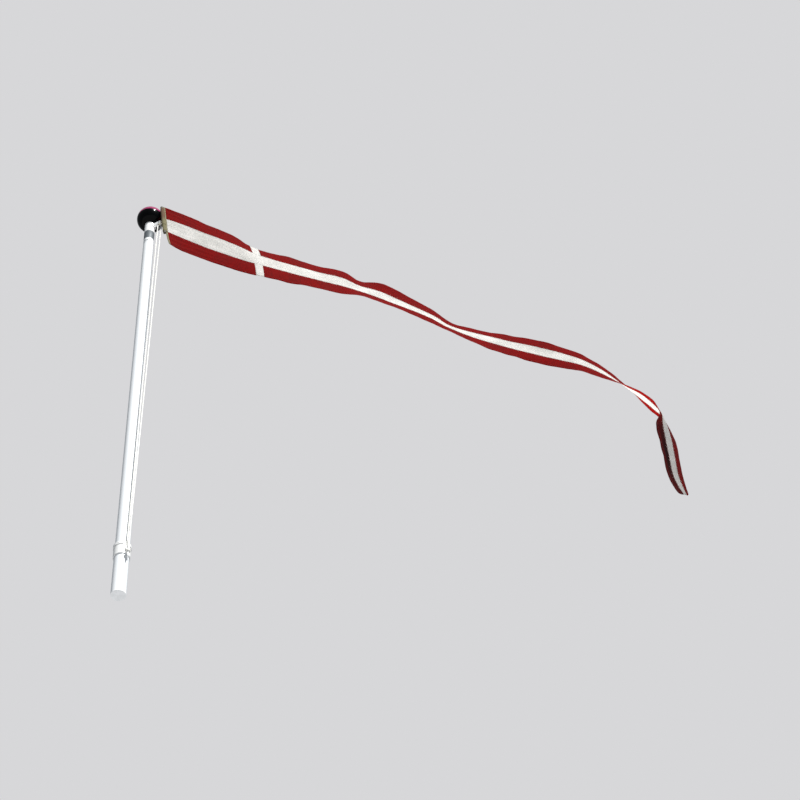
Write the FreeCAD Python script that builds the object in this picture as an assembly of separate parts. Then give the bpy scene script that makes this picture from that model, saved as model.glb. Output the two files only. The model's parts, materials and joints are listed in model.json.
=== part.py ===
import FreeCAD, Part

import math
import os

from FreeCAD import Vector

# A cross pennant flying from the top section of a white flagpole: pole section with a closed foot,
# fixed bearing housing, revolving head with ball and sheave, halyard, and the pennant on its stick.
# Millimetres. The origin is the centre of the pole's foot, +Z is up the pole, and the pennant
# streams towards +X and a little towards +Y.

UP = Vector(0, 0, 1)
ORIGIN = Vector(0, 0, 0)

# Pole section
FOOT_R = 34.0
TOP_R = 30.0
WALL = 3.5
BUTT_TOP_Z = 150.0
POLE_TOP_Z = 2966.0
PLUG_FLANGE = 4.0
PLUG_DEPTH = 30.0
PLUG_FLOOR = 2.0

# Bearing housing, fixed in the pole's top
HOUSING_TOP_Z = 3048.0
SPIGOT_DEPTH = 60.0
BUSH_R = 14.0
BUSH_LENGTH = 26.0
SHAFT_R = 10.0
RUNNING_GAP = 0.05
SHAFT_BORE_R = 11.0
HOUSING_SCREWS = 3
HOUSING_SCREW_DEG = 30.0
HOUSING_SCREW_DEPTH = 12.0
SCREW_R = 3.0
SCREW_HEAD_R = 5.4
SCREW_HEAD = 2.2
HEX_KEY_R = 1.5
HEX_KEY_DEPTH = 1.6

# Revolving head and ball
HEAD_BOTTOM_Z = 3050.0
BALL_Z = 3220.0
BALL_R = 80.0
BALL_WALL = 3.5
SHAFT_LENGTH_UP = 52.0
SHAFT_END = 12.0
SHAFT_PIN_SHARE = 0.6
CLIP_UP = 3.0
CLIP = 2.0
CLIP_REACH = 3.0
SHAFT_WASHER_LOW = 5.2
SHAFT_WASHER_HIGH = 11.5
THRUST_WASHER_EDGE = 4.0
THRUST_WASHER_UP = 0.2
STUD_R = 6.0
STUD_UP = 8.0
STUD_PAST_NUT = 18.0
SKIRT = 3.0
SKIRT_DEPTH = 12.0
SADDLE_R = 15.0
SADDLE = 6.0
BALL_NUT_ACROSS = 19.0
BALL_NUT = 10.0

# Sheave block, on the head's side
ARM_DEG = -20.0
SHEAVE_OUT = 68.0
SHEAVE_Z = 3124.0
SHEAVE_R = 15.0
SHEAVE_WIDTH = 10.0
GROOVE_R = 3.8
AXLE_R = 3.0
AXLE_HEAD_R = 5.0
CHEEK = 2.5
CHEEK_GAP = 0.5
CHEEK_NOSE_R = 12.0
CHEEK_DROP = 14.0
FLANGE_REACH = 13.0
FLANGE_SCREW_DEG = 33.0
FLANGE_SCREW_BELOW = 8.0
FLANGE_SCREW_ABOVE = 6.0
FLANGE_SCREW_DEPTH = 8.0
FLANGE_SCREW_R = 2.0
FLANGE_SCREW_HEAD_R = 3.5
FLANGE_SCREW_HEAD = 2.2
AXLE_HEAD = 2.0
AXLE_PAST_CHEEK = 4.0
AXLE_CLIP_OUT = 1.0

# Halyard
ROPE_R = 3.5
PITCH_R = 11.0
SWIVEL_TOP_Z = 3090.0
SWIVEL_BOTTOM_Z = 3044.0
SWIVEL_PIN_R = 2.5
SWIVEL_EYE = 6.0
SWIVEL_EYE_R = 6.0
SWIVEL_EYE_END_R = 4.0
ROPE_GAP = 0.5

# Cleat on its turning band, low on the pole, and the collar that stops the band from riding up
CLEAT_DEG = -45.0
BAND_LOW_Z = 232.0
BAND_HIGH_Z = 288.0
BAND_MIDDLE_Z = (BAND_LOW_Z + BAND_HIGH_Z) / 2
LINER_GAP = 0.25
LINER = 1.8
BAND = 2.5
BAND_EAR = 2.5
BAND_SLIT = 4.0
BAND_EAR_REACH = 9.5
BAND_BOLT_R = 2.0
BAND_BOLT_OUT = 5.0
BAND_BOLT_FROM_EDGE = 10.0
BAND_BOLT_HEAD_R = 3.5
BAND_BOLT_HEAD = 3.0
BAND_BOLT_PAST_EAR = 4.5
BAND_NUT_ACROSS = 7.0
BAND_NUT = 3.2
CLEAT_BASE = 3.5
CLEAT_HALF_WIDTH = 7.0
CLEAT_SCREW_REACH = 21.0
CLEAT_SCREW_R = 2.0
CLEAT_SCREW_HEAD_R = 3.6
CLEAT_BASE_PAST_SCREW = 6.0
NECK = 8.5
NECK_HALF_HEIGHT = 12.0
NECK_HALF_WIDTH = 3.5
HORN_LENGTH = 120.0
HORN_R = 4.5
HORN_TAPER = 12.0
HORN_TIP_R = 3.0
HITCH_TURNS_WIDTH = 7.0
HITCH_ABOVE = 2.0
HITCH_BELOW = 4.0
HITCH_ROUNDING = 3.0
HITCH_GAP = 0.1
COLLAR_HEIGHT = 16.0
COLLAR_WALL = 7.0
COLLAR_GAP = 1.0
COLLAR_SCREWS = 3
COLLAR_SCREW_DEG = 60.0
COLLAR_SCREW_R = 2.5
COLLAR_SCREW_SUNK = 0.5
COLLAR_KEY_R = 1.0
COLLAR_KEY_DEPTH = 3.0

# Pennant
HEADING_DEG = 22.0
STICK_MID = Vector(89.8, -40.8, 3120.0)
STICK_TILT_DEG = 5.5
STICK_LENGTH = 290.0
STICK_R = 6.5
SLEEVE_R = 10.0
SLEEVE_LENGTH = 256.0
TAPE_START = 14.0
CAP_R = 9.0
CAP_LENGTH = 18.0
CAP_END = 4.0
LOOP = 1.6
LOOP_WIDTH = 14.0
EYE_WALL = 1.3
SHACKLE_R = 2.0
SHACKLE_FROM_SWIVEL_END = 8.0
SHACKLE_BARREL = 3.0
SHACKLE_GAP = 0.4
SHACKLE_EYE = 1.2
SHACKLE_PIN_HEAD = 2.0
SHACKLE_PIN_LIP = 0.8
PIN_FROM_LOOP = 0.9
HOIST = 410.0
TAIL = 100.0
CLOTH = 2.0
TAPE_END = 20.0
STRIPE_SHARE = 1 / 3
BAR_START = 582.0
BAR_WIDTH = 50.0
CORNER_CURL = 12.0
CURL_REACH = 220.0

# The pennant's line through the air, from the hoist to the tail: distance downwind from the stick and
# height, rake (top edge downwind) and lean (top edge to the left of the heading) of the cross-section
# in degrees, how far the stripe bellies out of it, and how far the lower and the upper band fold back
# from the stripe in degrees.
FLIGHT = [
    (4, 3072, -5.5, 0, 0, 0, 0),
    (125, 3021, -5.5, -7, 4, -4, 7),
    (300, 2941, -5, -8, 13, -9, 7),
    (455, 2874, -5, -6, 21, -10, 6),
    (570, 2828, -4, 3, 21, -5, 2),
    (760, 2814, 1, 6, 9, 0, 0),
    (930, 2788, 6, 8, 6, 0, 0),
    (1065, 2780, 10, 7, 3, 0, 0),
    (1175, 2745, 12, 15, 0, 0, 0),
    (1310, 2745, 16, 10, -20, 0, 0),
    (1470, 2655, 24, 14, -10, 0, 0),
    (1600, 2575, 28, 17, 0, 0, 0),
    (1700, 2500, 22, 21, 0, 0, 0),
    (1850, 2450, 20, 14, 2, 0, 0),
    (2005, 2420, 15, 5, 4, 0, 0),
    (2245, 2395, 13, -4, 4, 0, 0),
    (2375, 2380, 15, -3, 4, 0, 0),
    (2500, 2355, 23, 4, 4, 0, 0),
    (2630, 2285, 29, 14, 4, 0, 0),
    (2752, 2178, 26, 34, 0, -4, -10),
    (2820, 2108, 20, 54, 3, 8, -18),
    (2867, 2024, 19, 54, 12, 2, -15),
    (2880, 1930, 30, 40, 32, -14, -17),
    (2888, 1820, 69, 27, 26, -4, -8),
    (2890, 1695, 73, 16, 10, 0, 0),
    (2880, 1580, 66, 9, 5, 0, 0),
    (2860, 1415, 63, 5, 4, 0, 0),
    (2860, 1305, 63, 11, 4, 0, 0),
    (2870, 1230, 60, 22, 4, 0, 0),
]
STEPS = 2


def save(name, *shapes):
    """Writes a piece, or a group of separate solids, to its own file."""
    solids = [solid for shape in shapes for solid in shape.Solids]
    if len(solids) != len(shapes):
        print("%s has %d solids, not %d" % (name, len(solids), len(shapes)))
    shape = solids[0] if len(solids) == 1 else Part.makeCompound(solids)
    shape.exportStep(os.path.join("parts", name + ".step"))


def polar(radius, azimuth_deg, z):
    azimuth = math.radians(azimuth_deg)
    return Vector(radius * math.cos(azimuth), radius * math.sin(azimuth), z)


def disc(radius, low, high):
    return Part.makeCylinder(radius, high - low, Vector(0, 0, low))


def ring(outer, inner, low, high):
    return disc(outer, low, high).cut(disc(inner, low - 1, high + 1))


def rod(radius, start, end):
    way = end.sub(start)
    return Part.makeCylinder(radius, way.Length, start, way)


def turned(profile):
    points = [Vector(r, 0, z) for r, z in profile]
    face = Part.Face(Part.makePolygon(points + points[:1]))
    return face.revolve(ORIGIN, UP, 360)


def block(x0, x1, y0, y1, z0, z1):
    return Part.makeBox(x1 - x0, y1 - y0, z1 - z0, Vector(x0, y0, z0))


def hexagon(across, low, high):
    corner = across / math.sqrt(3)
    points = [polar(corner, 60 * i, low) for i in range(6)]
    return Part.Face(Part.makePolygon(points + points[:1])).extrude(Vector(0, 0, high - low))


def on_arm(shape):
    return shape.rotated(ORIGIN, UP, ARM_DEG)


def on_cleat_side(shape):
    return shape.rotated(ORIGIN, UP, CLEAT_DEG)


def pole_radius(z):
    along = max(0.0, (z - BUTT_TOP_Z) / (POLE_TOP_Z - BUTT_TOP_Z))
    return FOOT_R + (TOP_R - FOOT_R) * along


# Pole section


def housing_screw(index):
    """A countersunk screw through the tube's wall into the housing's spigot."""
    z = POLE_TOP_Z - SPIGOT_DEPTH / 2
    azimuth = HOUSING_SCREW_DEG + 360 * index / HOUSING_SCREWS
    surface = pole_radius(z)
    sunk = surface - SCREW_HEAD - 0.2
    shank = rod(SCREW_R, polar(surface - HOUSING_SCREW_DEPTH, azimuth, z), polar(sunk + 0.4, azimuth, z))
    way = polar(1, azimuth, 0)
    head = Part.makeCone(SCREW_R, SCREW_HEAD_R, SCREW_HEAD, polar(sunk, azimuth, z), way)
    socket = rod(HEX_KEY_R, polar(surface - HEX_KEY_DEPTH, azimuth, z), polar(surface + 1, azimuth, z))
    return shank.fuse(head).cut(socket)


def pole_outside():
    """The pole's outer form, solid."""
    return turned([(0, 0), (FOOT_R, 0), (FOOT_R, BUTT_TOP_Z), (TOP_R, POLE_TOP_Z), (0, POLE_TOP_Z)])


def pole_parts():
    screws = [housing_screw(i) for i in range(HOUSING_SCREWS)]
    wall = turned(
        [
            (FOOT_R, PLUG_FLANGE),
            (FOOT_R, BUTT_TOP_Z),
            (TOP_R, POLE_TOP_Z),
            (TOP_R - WALL, POLE_TOP_Z),
            (FOOT_R - WALL, BUTT_TOP_Z),
            (FOOT_R - WALL, PLUG_FLANGE),
        ]
    )
    plug = disc(FOOT_R, 0, PLUG_FLANGE).fuse(disc(FOOT_R - WALL, PLUG_FLANGE, PLUG_FLANGE + PLUG_DEPTH))
    hollow_low = PLUG_FLANGE + PLUG_FLOOR
    plug = plug.cut(disc(FOOT_R - 2 * WALL, hollow_low, PLUG_FLANGE + PLUG_DEPTH + 1))
    spigot_low = POLE_TOP_Z - SPIGOT_DEPTH
    housing = disc(TOP_R, POLE_TOP_Z, HOUSING_TOP_Z).fuse(disc(TOP_R - WALL, spigot_low, POLE_TOP_Z))
    housing = housing.cut(disc(SHAFT_BORE_R, spigot_low - 1, HOUSING_TOP_Z + 1))
    housing = housing.cut(disc(BUSH_R, HOUSING_TOP_Z - BUSH_LENGTH, HOUSING_TOP_Z + 1))
    housing = housing.cut(disc(BUSH_R, spigot_low - 1, spigot_low + BUSH_LENGTH))
    for screw in screws:
        wall = wall.cut(screw)
        housing = housing.cut(screw)
    save("pole_tube", wall)
    save("foot_plug", plug)
    save("bearing_housing", housing)
    save("housing_screws", *screws)
    bore = SHAFT_R + RUNNING_GAP
    save("bush_upper", ring(BUSH_R, bore, HOUSING_TOP_Z - BUSH_LENGTH, HOUSING_TOP_Z))
    save("bush_lower", ring(BUSH_R, bore, spigot_low, spigot_low + BUSH_LENGTH))


# Revolving head


def head_parts():
    ball = Part.makeSphere(BALL_R, Vector(0, 0, BALL_Z))
    hollow = Part.makeSphere(BALL_R - BALL_WALL, Vector(0, 0, BALL_Z))
    shaft_top = HEAD_BOTTOM_Z + SHAFT_LENGTH_UP
    stud_low = shaft_top + STUD_UP
    pin_z = HEAD_BOTTOM_Z + SHAFT_PIN_SHARE * SHAFT_LENGTH_UP
    ball_seat_z = BALL_Z - math.sqrt(BALL_R**2 - TOP_R**2)
    head = disc(TOP_R, HEAD_BOTTOM_Z, ball_seat_z).cut(ball)
    head = head.cut(disc(SHAFT_R, HEAD_BOTTOM_Z - 1, shaft_top)).cut(disc(STUD_R, stud_low, BALL_Z))
    pin = on_arm(rod(SCREW_R, Vector(0, -TOP_R + 2, pin_z), Vector(0, TOP_R - 2, pin_z)))
    shaft_low = POLE_TOP_Z - SPIGOT_DEPTH - SHAFT_END
    clip_low = shaft_low + CLIP_UP
    groove_r = SHAFT_R - 1
    shaft = disc(SHAFT_R, shaft_low, shaft_top)
    shaft = shaft.cut(ring(SHAFT_R + 1, groove_r, clip_low, clip_low + CLIP))
    clip = ring(SHAFT_R + CLIP_REACH, groove_r, clip_low, clip_low + CLIP)
    clip = clip.cut(block(0, 2 * SHAFT_R, -CLIP_REACH, CLIP_REACH, shaft_low, clip_low + 2 * CLIP))
    washer = ring(BUSH_R - 0.5, SHAFT_R + 0.1, shaft_low + SHAFT_WASHER_LOW, shaft_low + SHAFT_WASHER_HIGH)
    head = head.cut(pin)
    shaft = shaft.cut(pin)
    for side in (-1, 1):
        for screw in bracket_screws(side):
            head = head.cut(screw)
    save("rotor_head", head)
    save("rotor_shaft", shaft)
    save("shaft_pin", pin)
    save("shaft_circlip", clip)
    save("shaft_washer", washer)
    thrust_low = HOUSING_TOP_Z + THRUST_WASHER_UP
    save("thrust_washer", ring(TOP_R - THRUST_WASHER_EDGE, SHAFT_R + 0.5, thrust_low, HEAD_BOTTOM_Z))
    shell = ball.cut(hollow)
    reach = 1.25 * BALL_R
    top_half = block(-reach, reach, -reach, reach, BALL_Z, BALL_Z + reach)
    lower = shell.cut(top_half).cut(disc(STUD_R + 0.5, BALL_Z - reach, BALL_Z - BALL_R / 2))
    inner_r = BALL_R - BALL_WALL
    skirt = ring(BALL_R, inner_r - SKIRT, BALL_Z - SKIRT_DEPTH, BALL_Z)
    skirt = skirt.common(Part.makeSphere(inner_r - 0.1, Vector(0, 0, BALL_Z)))
    skirt = skirt.fuse(ring(inner_r, inner_r - SKIRT, BALL_Z, BALL_Z + 2))
    upper = shell.common(top_half).fuse(skirt)
    nut_z = BALL_Z - inner_r + SADDLE
    saddle = disc(SADDLE_R, BALL_Z - BALL_R, nut_z).common(hollow)
    saddle = saddle.cut(disc(STUD_R + 0.2, BALL_Z - BALL_R, nut_z + 1))
    save("ball_lower_shell", lower)
    save("ball_upper_shell", upper)
    save("ball_stud", disc(STUD_R, stud_low, nut_z + STUD_PAST_NUT))
    save("ball_saddle_washer", saddle)
    nut_top = nut_z + BALL_NUT
    save("ball_nut", hexagon(BALL_NUT_ACROSS, nut_z, nut_top).cut(disc(STUD_R, nut_z - 1, nut_top + 1)))


# Sheave block


def cheek_offset():
    return SHEAVE_WIDTH / 2 + CHEEK_GAP


def cheek(side):
    """One bent cheek: a flange screwed to the head and a plate beside the sheave."""
    inner = side * cheek_offset()
    outer = side * (cheek_offset() + CHEEK)
    y0, y1 = min(inner, outer), max(inner, outer)
    low = SHEAVE_Z - CHEEK_DROP
    high = SHEAVE_Z + CHEEK_NOSE_R
    plate = block(TOP_R - 4, SHEAVE_OUT, y0, y1, low, high)
    nose = rod(CHEEK_NOSE_R, Vector(SHEAVE_OUT, y0, SHEAVE_Z), Vector(SHEAVE_OUT, y1, SHEAVE_Z))
    edge = side * (cheek_offset() + CHEEK + FLANGE_REACH)
    flange = ring(TOP_R + CHEEK, TOP_R, low, high)
    flange = flange.common(block(0, TOP_R + 5, min(inner, edge), max(inner, edge), low, high))
    axle_hole = rod(AXLE_R, Vector(SHEAVE_OUT, -50, SHEAVE_Z), Vector(SHEAVE_OUT, 50, SHEAVE_Z))
    body = plate.fuse(nose).fuse(flange).cut(disc(TOP_R, low - 1, high + 1)).cut(axle_hole)
    body = on_arm(body)
    for screw in bracket_screws(side):
        body = body.cut(screw)
    return body


def bracket_screws(side):
    screws = []
    for z in (SHEAVE_Z - FLANGE_SCREW_BELOW, SHEAVE_Z + FLANGE_SCREW_ABOVE):
        azimuth = ARM_DEG + side * FLANGE_SCREW_DEG
        tip = polar(TOP_R - FLANGE_SCREW_DEPTH, azimuth, z)
        seat = polar(TOP_R + CHEEK, azimuth, z)
        shank = rod(FLANGE_SCREW_R, tip, seat)
        head = rod(FLANGE_SCREW_HEAD_R, seat, polar(TOP_R + CHEEK + FLANGE_SCREW_HEAD, azimuth, z))
        screws.append(shank.fuse(head))
    return screws


def sheave():
    """A wheel with a round groove for the rope, whose middle runs at the pitch radius."""
    half = SHEAVE_WIDTH / 2
    bore = AXLE_R + RUNNING_GAP
    deepest = Vector(PITCH_R - GROOVE_R, 0, 0)
    groove = Part.Arc(Vector(PITCH_R, 0, -GROOVE_R), deepest, Vector(PITCH_R, 0, GROOVE_R))
    lower = [(PITCH_R, -GROOVE_R), (SHEAVE_R, -GROOVE_R), (SHEAVE_R, -half), (bore, -half)]
    upper = [(bore, half), (SHEAVE_R, half), (SHEAVE_R, GROOVE_R), (PITCH_R, GROOVE_R)]
    points = [Vector(r, 0, z) for r, z in lower + upper]
    section = Part.Wire(Part.makePolygon(points).Edges + [groove.toShape()])
    wheel = Part.Face(section).revolve(ORIGIN, UP, 360)
    wheel.rotate(ORIGIN, Vector(1, 0, 0), 90)
    wheel.translate(Vector(SHEAVE_OUT, 0, SHEAVE_Z))
    return wheel


def sheave_parts():
    save("sheave_cheek_left", cheek(1))
    save("sheave_cheek_right", cheek(-1))
    save("cheek_screws", *bracket_screws(-1), *bracket_screws(1))
    end = cheek_offset() + CHEEK
    face = Vector(SHEAVE_OUT, end, SHEAVE_Z)
    axle = rod(AXLE_R, Vector(SHEAVE_OUT, -end - AXLE_PAST_CHEEK, SHEAVE_Z), face)
    head = rod(AXLE_HEAD_R, face, Vector(SHEAVE_OUT, end + AXLE_HEAD, SHEAVE_Z))
    clip = head.translated(Vector(0, -2 * end - AXLE_HEAD - AXLE_CLIP_OUT, 0))
    axle = axle.fuse(head)
    save("sheave_axle", on_arm(axle))
    save("axle_clip", on_arm(clip.cut(axle)))
    save("sheave", on_arm(sheave()))


# Halyard


def rope(points, radius):
    """A round rope along straight runs with tangent arcs, each as large as its runs allow."""
    edges = []
    start = points[0]
    for before, corner, after in zip(points, points[1:], points[2:]):
        back = (before - corner).normalize()
        ahead = (after - corner).normalize()
        turn = math.pi - back.getAngle(ahead)
        share = 0.5 if len(points) > 3 else 0.45
        trim = share * min((before - corner).Length, (after - corner).Length)
        arc_r = trim / math.tan(turn / 2)
        middle = (back + ahead).normalize()
        centre = corner + middle * (arc_r / math.cos(turn / 2))
        entry = corner + back * trim
        leave = corner + ahead * trim
        if (entry - start).Length > 1e-6:
            edges.append(Part.LineSegment(start, entry).toShape())
        edges.append(Part.Arc(entry, centre - middle * arc_r, leave).toShape())
        print("rope bend radius %.1f mm" % arc_r)
        start = leave
    edges.append(Part.LineSegment(start, points[-1]).toShape())
    path = Part.Wire(edges)
    section = Part.Wire(Part.makeCircle(radius, points[0], points[1] - points[0]))
    tube = path.makePipeShell([section], True, False)
    expected = path.Length * math.pi * radius**2
    print("rope length %.0f mm" % path.Length)
    print("rope volume %.0f mm3, section times length %.0f" % (tube.Volume, expected))
    return tube


def cleat_point(out, across, z):
    return on_cleat_side(Part.Vertex(out, across, z)).Point


def arm_point(out, z):
    return polar(out, ARM_DEG, z)


def fitting(profile):
    """A turned part on the halyard's hanging line."""
    return turned(profile).translated(Vector(SHEAVE_OUT + PITCH_R, 0, 0))


def halyard_parts():
    over = SHEAVE_Z + PITCH_R
    hoist_line = [
        cleat_point(neck_out(), -ROPE_R - ROPE_GAP, hitch_top()),
        arm_point(SHEAVE_OUT - PITCH_R, over),
        arm_point(SHEAVE_OUT + PITCH_R, over),
        arm_point(SHEAVE_OUT + PITCH_R, SWIVEL_TOP_Z),
    ]
    save("halyard_hoist_line", rope(hoist_line, ROPE_R))
    down_top = arm_point(SHEAVE_OUT + PITCH_R, SWIVEL_BOTTOM_Z)
    down_end = cleat_point(neck_out(), ROPE_R + ROPE_GAP, hitch_top())
    save("halyard_downhaul", rod(ROPE_R, down_top, down_end))
    top = SWIVEL_TOP_Z
    low = SWIVEL_BOTTOM_Z
    wide = SWIVEL_EYE_R
    end = SWIVEL_EYE_END_R
    half = SWIVEL_EYE / 2
    full = SWIVEL_EYE
    eye = fitting([(0, top), (end, top), (wide, top - half), (end, top - full), (0, top - full)])
    foot = fitting([(0, low), (end, low), (wide, low + half), (wide - 1, low + full), (0, low + full)])
    pin_low = low + full - 1
    pin_top = top - full + 1
    pin = fitting([(0, pin_low), (SWIVEL_PIN_R, pin_low), (SWIVEL_PIN_R, pin_top), (0, pin_top)])
    save("swivel_pin", on_arm(eye.fuse(foot).fuse(pin)))


# Cleat band


def liner_radius():
    return pole_radius(BAND_LOW_Z) + LINER_GAP


def band_face():
    return liner_radius() + LINER + BAND


def neck_out():
    """How far the middle of the cleat's neck, and the rope made fast on it, stands off the pole's axis."""
    return band_face() + CLEAT_BASE + NECK / 2


def hitch_top():
    return BAND_MIDDLE_Z + NECK_HALF_HEIGHT + HITCH_ABOVE


def band_bolt_places():
    x = -(band_face() + BAND_BOLT_OUT)
    edge = BAND_BOLT_FROM_EDGE
    return [Vector(x, 0, z) for z in (BAND_LOW_Z + edge, BAND_HIGH_Z - edge)]


def band_bolt(place):
    outer = BAND_SLIT / 2 + BAND_EAR
    shank = rod(BAND_BOLT_R, place - Vector(0, outer, 0), place + Vector(0, outer + BAND_BOLT_PAST_EAR, 0))
    head = rod(BAND_BOLT_HEAD_R, place - Vector(0, outer + BAND_BOLT_HEAD, 0), place - Vector(0, outer, 0))
    return shank.fuse(head)


def band_nut(place):
    nut = hexagon(BAND_NUT_ACROSS, 0, BAND_NUT).cut(disc(BAND_BOLT_R, -1, BAND_NUT + 1))
    nut.rotate(ORIGIN, Vector(1, 0, 0), -90)
    return nut.translated(place + Vector(0, BAND_SLIT / 2 + BAND_EAR, 0))


def cleat_band():
    """A split band with two ears at the back, where the bolts draw it together."""
    inner = liner_radius() + LINER
    outer = band_face()
    slit = BAND_SLIT / 2
    band = ring(outer, inner, BAND_LOW_Z, BAND_HIGH_Z)
    for y0, y1 in ((-slit - BAND_EAR, -slit), (slit, slit + BAND_EAR)):
        ear = block(-outer - BAND_EAR_REACH, -inner - 1, y0, y1, BAND_LOW_Z, BAND_HIGH_Z)
        band = band.fuse(ear.cut(disc(inner + 0.5, BAND_LOW_Z - 1, BAND_HIGH_Z + 1)))
    past_ear = -outer - 2 * BAND_EAR_REACH
    return band.cut(block(past_ear, -inner + 3, -slit, slit, BAND_LOW_Z - 1, BAND_HIGH_Z + 1))


def cleat_screw(z):
    """A countersunk screw, flush with the cleat's base."""
    face = band_face()
    seat = face + CLEAT_BASE
    radius = CLEAT_SCREW_R
    shank = rod(radius, Vector(face - BAND + 0.6, 0, z), Vector(seat - 1.5, 0, z))
    outward = Vector(1, 0, 0)
    return shank.fuse(Part.makeCone(radius, CLEAT_SCREW_HEAD_R, radius, Vector(seat - radius, 0, z), outward))


def cleat():
    """A base, a short neck and one long horn each way."""
    face = band_face()
    seat = face + CLEAT_BASE
    half_base = CLEAT_SCREW_REACH + CLEAT_BASE_PAST_SCREW
    low = BAND_MIDDLE_Z - half_base
    high = BAND_MIDDLE_Z + half_base
    base = block(face - BAND, seat, -CLEAT_HALF_WIDTH, CLEAT_HALF_WIDTH, low, high)
    base = base.cut(disc(face, low - 1, high + 1))
    neck_low = BAND_MIDDLE_Z - NECK_HALF_HEIGHT
    neck_high = BAND_MIDDLE_Z + NECK_HALF_HEIGHT
    neck = block(seat - 0.5, seat + NECK + 1, -NECK_HALF_WIDTH, NECK_HALF_WIDTH, neck_low, neck_high)
    end = HORN_LENGTH / 2
    taper = end - HORN_TAPER
    tip = HORN_TIP_R
    horn = turned([(0, -end), (tip, -end), (HORN_R, -taper), (HORN_R, taper), (tip, end), (0, end)])
    horn.translate(Vector(seat + NECK + HORN_R, 0, BAND_MIDDLE_Z))
    return base.fuse([neck, horn])


def hitch():
    """The halyard's turns round the cleat's neck, as one closed block."""
    half_width = NECK_HALF_WIDTH + HITCH_TURNS_WIDTH
    half_depth = ROPE_R + HITCH_GAP
    low = BAND_MIDDLE_Z - NECK_HALF_HEIGHT - HITCH_BELOW
    out = neck_out()
    turns = block(out - half_depth, out + half_depth, -half_width, half_width, low, hitch_top())
    corners = [edge for edge in turns.Edges if abs(edge.tangentAt(edge.FirstParameter).x) > 0.9]
    turns = turns.makeFillet(HITCH_ROUNDING, corners)
    inside = NECK_HALF_WIDTH + HITCH_GAP
    height = NECK_HALF_HEIGHT + HITCH_GAP
    low = BAND_MIDDLE_Z - height
    past = 2 * half_depth
    return turns.cut(block(out - past, out + past, -inside, inside, low, low + 2 * height))


def cleat_parts():
    screws = [cleat_screw(BAND_MIDDLE_Z + side * CLEAT_SCREW_REACH) for side in (-1, 1)]
    bolts = [band_bolt(place) for place in band_bolt_places()]
    nuts = [band_nut(place) for place in band_bolt_places()]
    band = cleat_band()
    body = cleat()
    for fastener in bolts + screws:
        band = band.cut(fastener)
    for screw in screws:
        body = body.cut(screw)
    save("band_liner", ring(liner_radius() + LINER, liner_radius(), BAND_LOW_Z, BAND_HIGH_Z))
    save("cleat_band", on_cleat_side(band))
    save("band_bolts", *[on_cleat_side(bolt) for bolt in bolts])
    save("band_nuts", *[on_cleat_side(nut) for nut in nuts])
    save("cleat", on_cleat_side(body))
    save("cleat_screws", *[on_cleat_side(screw) for screw in screws])
    save("halyard_hitch", on_cleat_side(hitch()))


def collar_parts():
    """The stop collar above the band, fixed to the pole with three grub screws."""
    low = BAND_HIGH_Z + COLLAR_GAP
    middle = low + COLLAR_HEIGHT / 2
    outer = pole_radius(low) + COLLAR_WALL
    collar = disc(outer, low, low + COLLAR_HEIGHT).cut(pole_outside())
    screws = []
    for index in range(COLLAR_SCREWS):
        azimuth = CLEAT_DEG + COLLAR_SCREW_DEG + 360 * index / COLLAR_SCREWS
        tip = polar(pole_radius(middle), azimuth, middle)
        end = polar(outer - COLLAR_SCREW_SUNK, azimuth, middle)
        past = polar(outer + 1, azimuth, middle)
        socket = rod(COLLAR_KEY_R, polar(outer - COLLAR_KEY_DEPTH, azimuth, middle), past)
        screws.append(rod(COLLAR_SCREW_R, tip, end).cut(pole_outside()).cut(socket))
        collar = collar.cut(rod(COLLAR_SCREW_R, tip, past))
    save("stop_collar", collar)
    save("collar_screws", *screws)


# Pennant


def heading(out, side, z):
    """A point given downwind and sideways of the stick, at a height."""
    turn = math.radians(HEADING_DEG)
    x = STICK_MID.x + out * math.cos(turn) - side * math.sin(turn)
    y = STICK_MID.y + out * math.sin(turn) + side * math.cos(turn)
    return Vector(x, y, z)


def downwind(distance):
    return heading(distance, 0, 0) - heading(0, 0, 0)


def smooth(values, index, share):
    """A Catmull-Rom step through one column of the flight table."""
    a = values[max(index - 1, 0)]
    b = values[index]
    c = values[index + 1]
    d = values[min(index + 2, len(values) - 1)]
    t = share
    return 0.5 * (2 * b + (c - a) * t + (2 * a - 5 * b + 4 * c - d) * t * t + (3 * b - a - 3 * c + d) * t**3)


def flight_stations():
    """The pennant's cross-sections, each with its distance from the hoist."""
    columns = list(zip(*FLIGHT))
    rows = []
    for index in range(len(FLIGHT) - 1):
        for step in range(STEPS):
            rows.append([smooth(column, index, step / STEPS) for column in columns])
    rows.append(list(FLIGHT[-1]))
    centres = [heading(row[0], 0, row[1]) for row in rows]
    gone = [0.0]
    for before, after in zip(centres, centres[1:]):
        gone.append(gone[-1] + (after - before).Length)
    sections = []
    for i, row in enumerate(rows):
        tangent = (centres[min(i + 1, len(rows) - 1)] - centres[max(i - 1, 0)]).normalize()
        rake = math.radians(row[2])
        lean = math.radians(row[3])
        chord = heading(math.sin(rake) * math.cos(lean), math.sin(lean), 0) - heading(0, 0, 0)
        chord.z = math.cos(rake) * math.cos(lean)
        normal = tangent.cross(chord).normalize()
        width = HOIST + (TAIL - HOIST) * gone[i] / gone[-1]
        sections.append((gone[i], centres[i], chord, normal, width, *row[4:]))
    return sections


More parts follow.
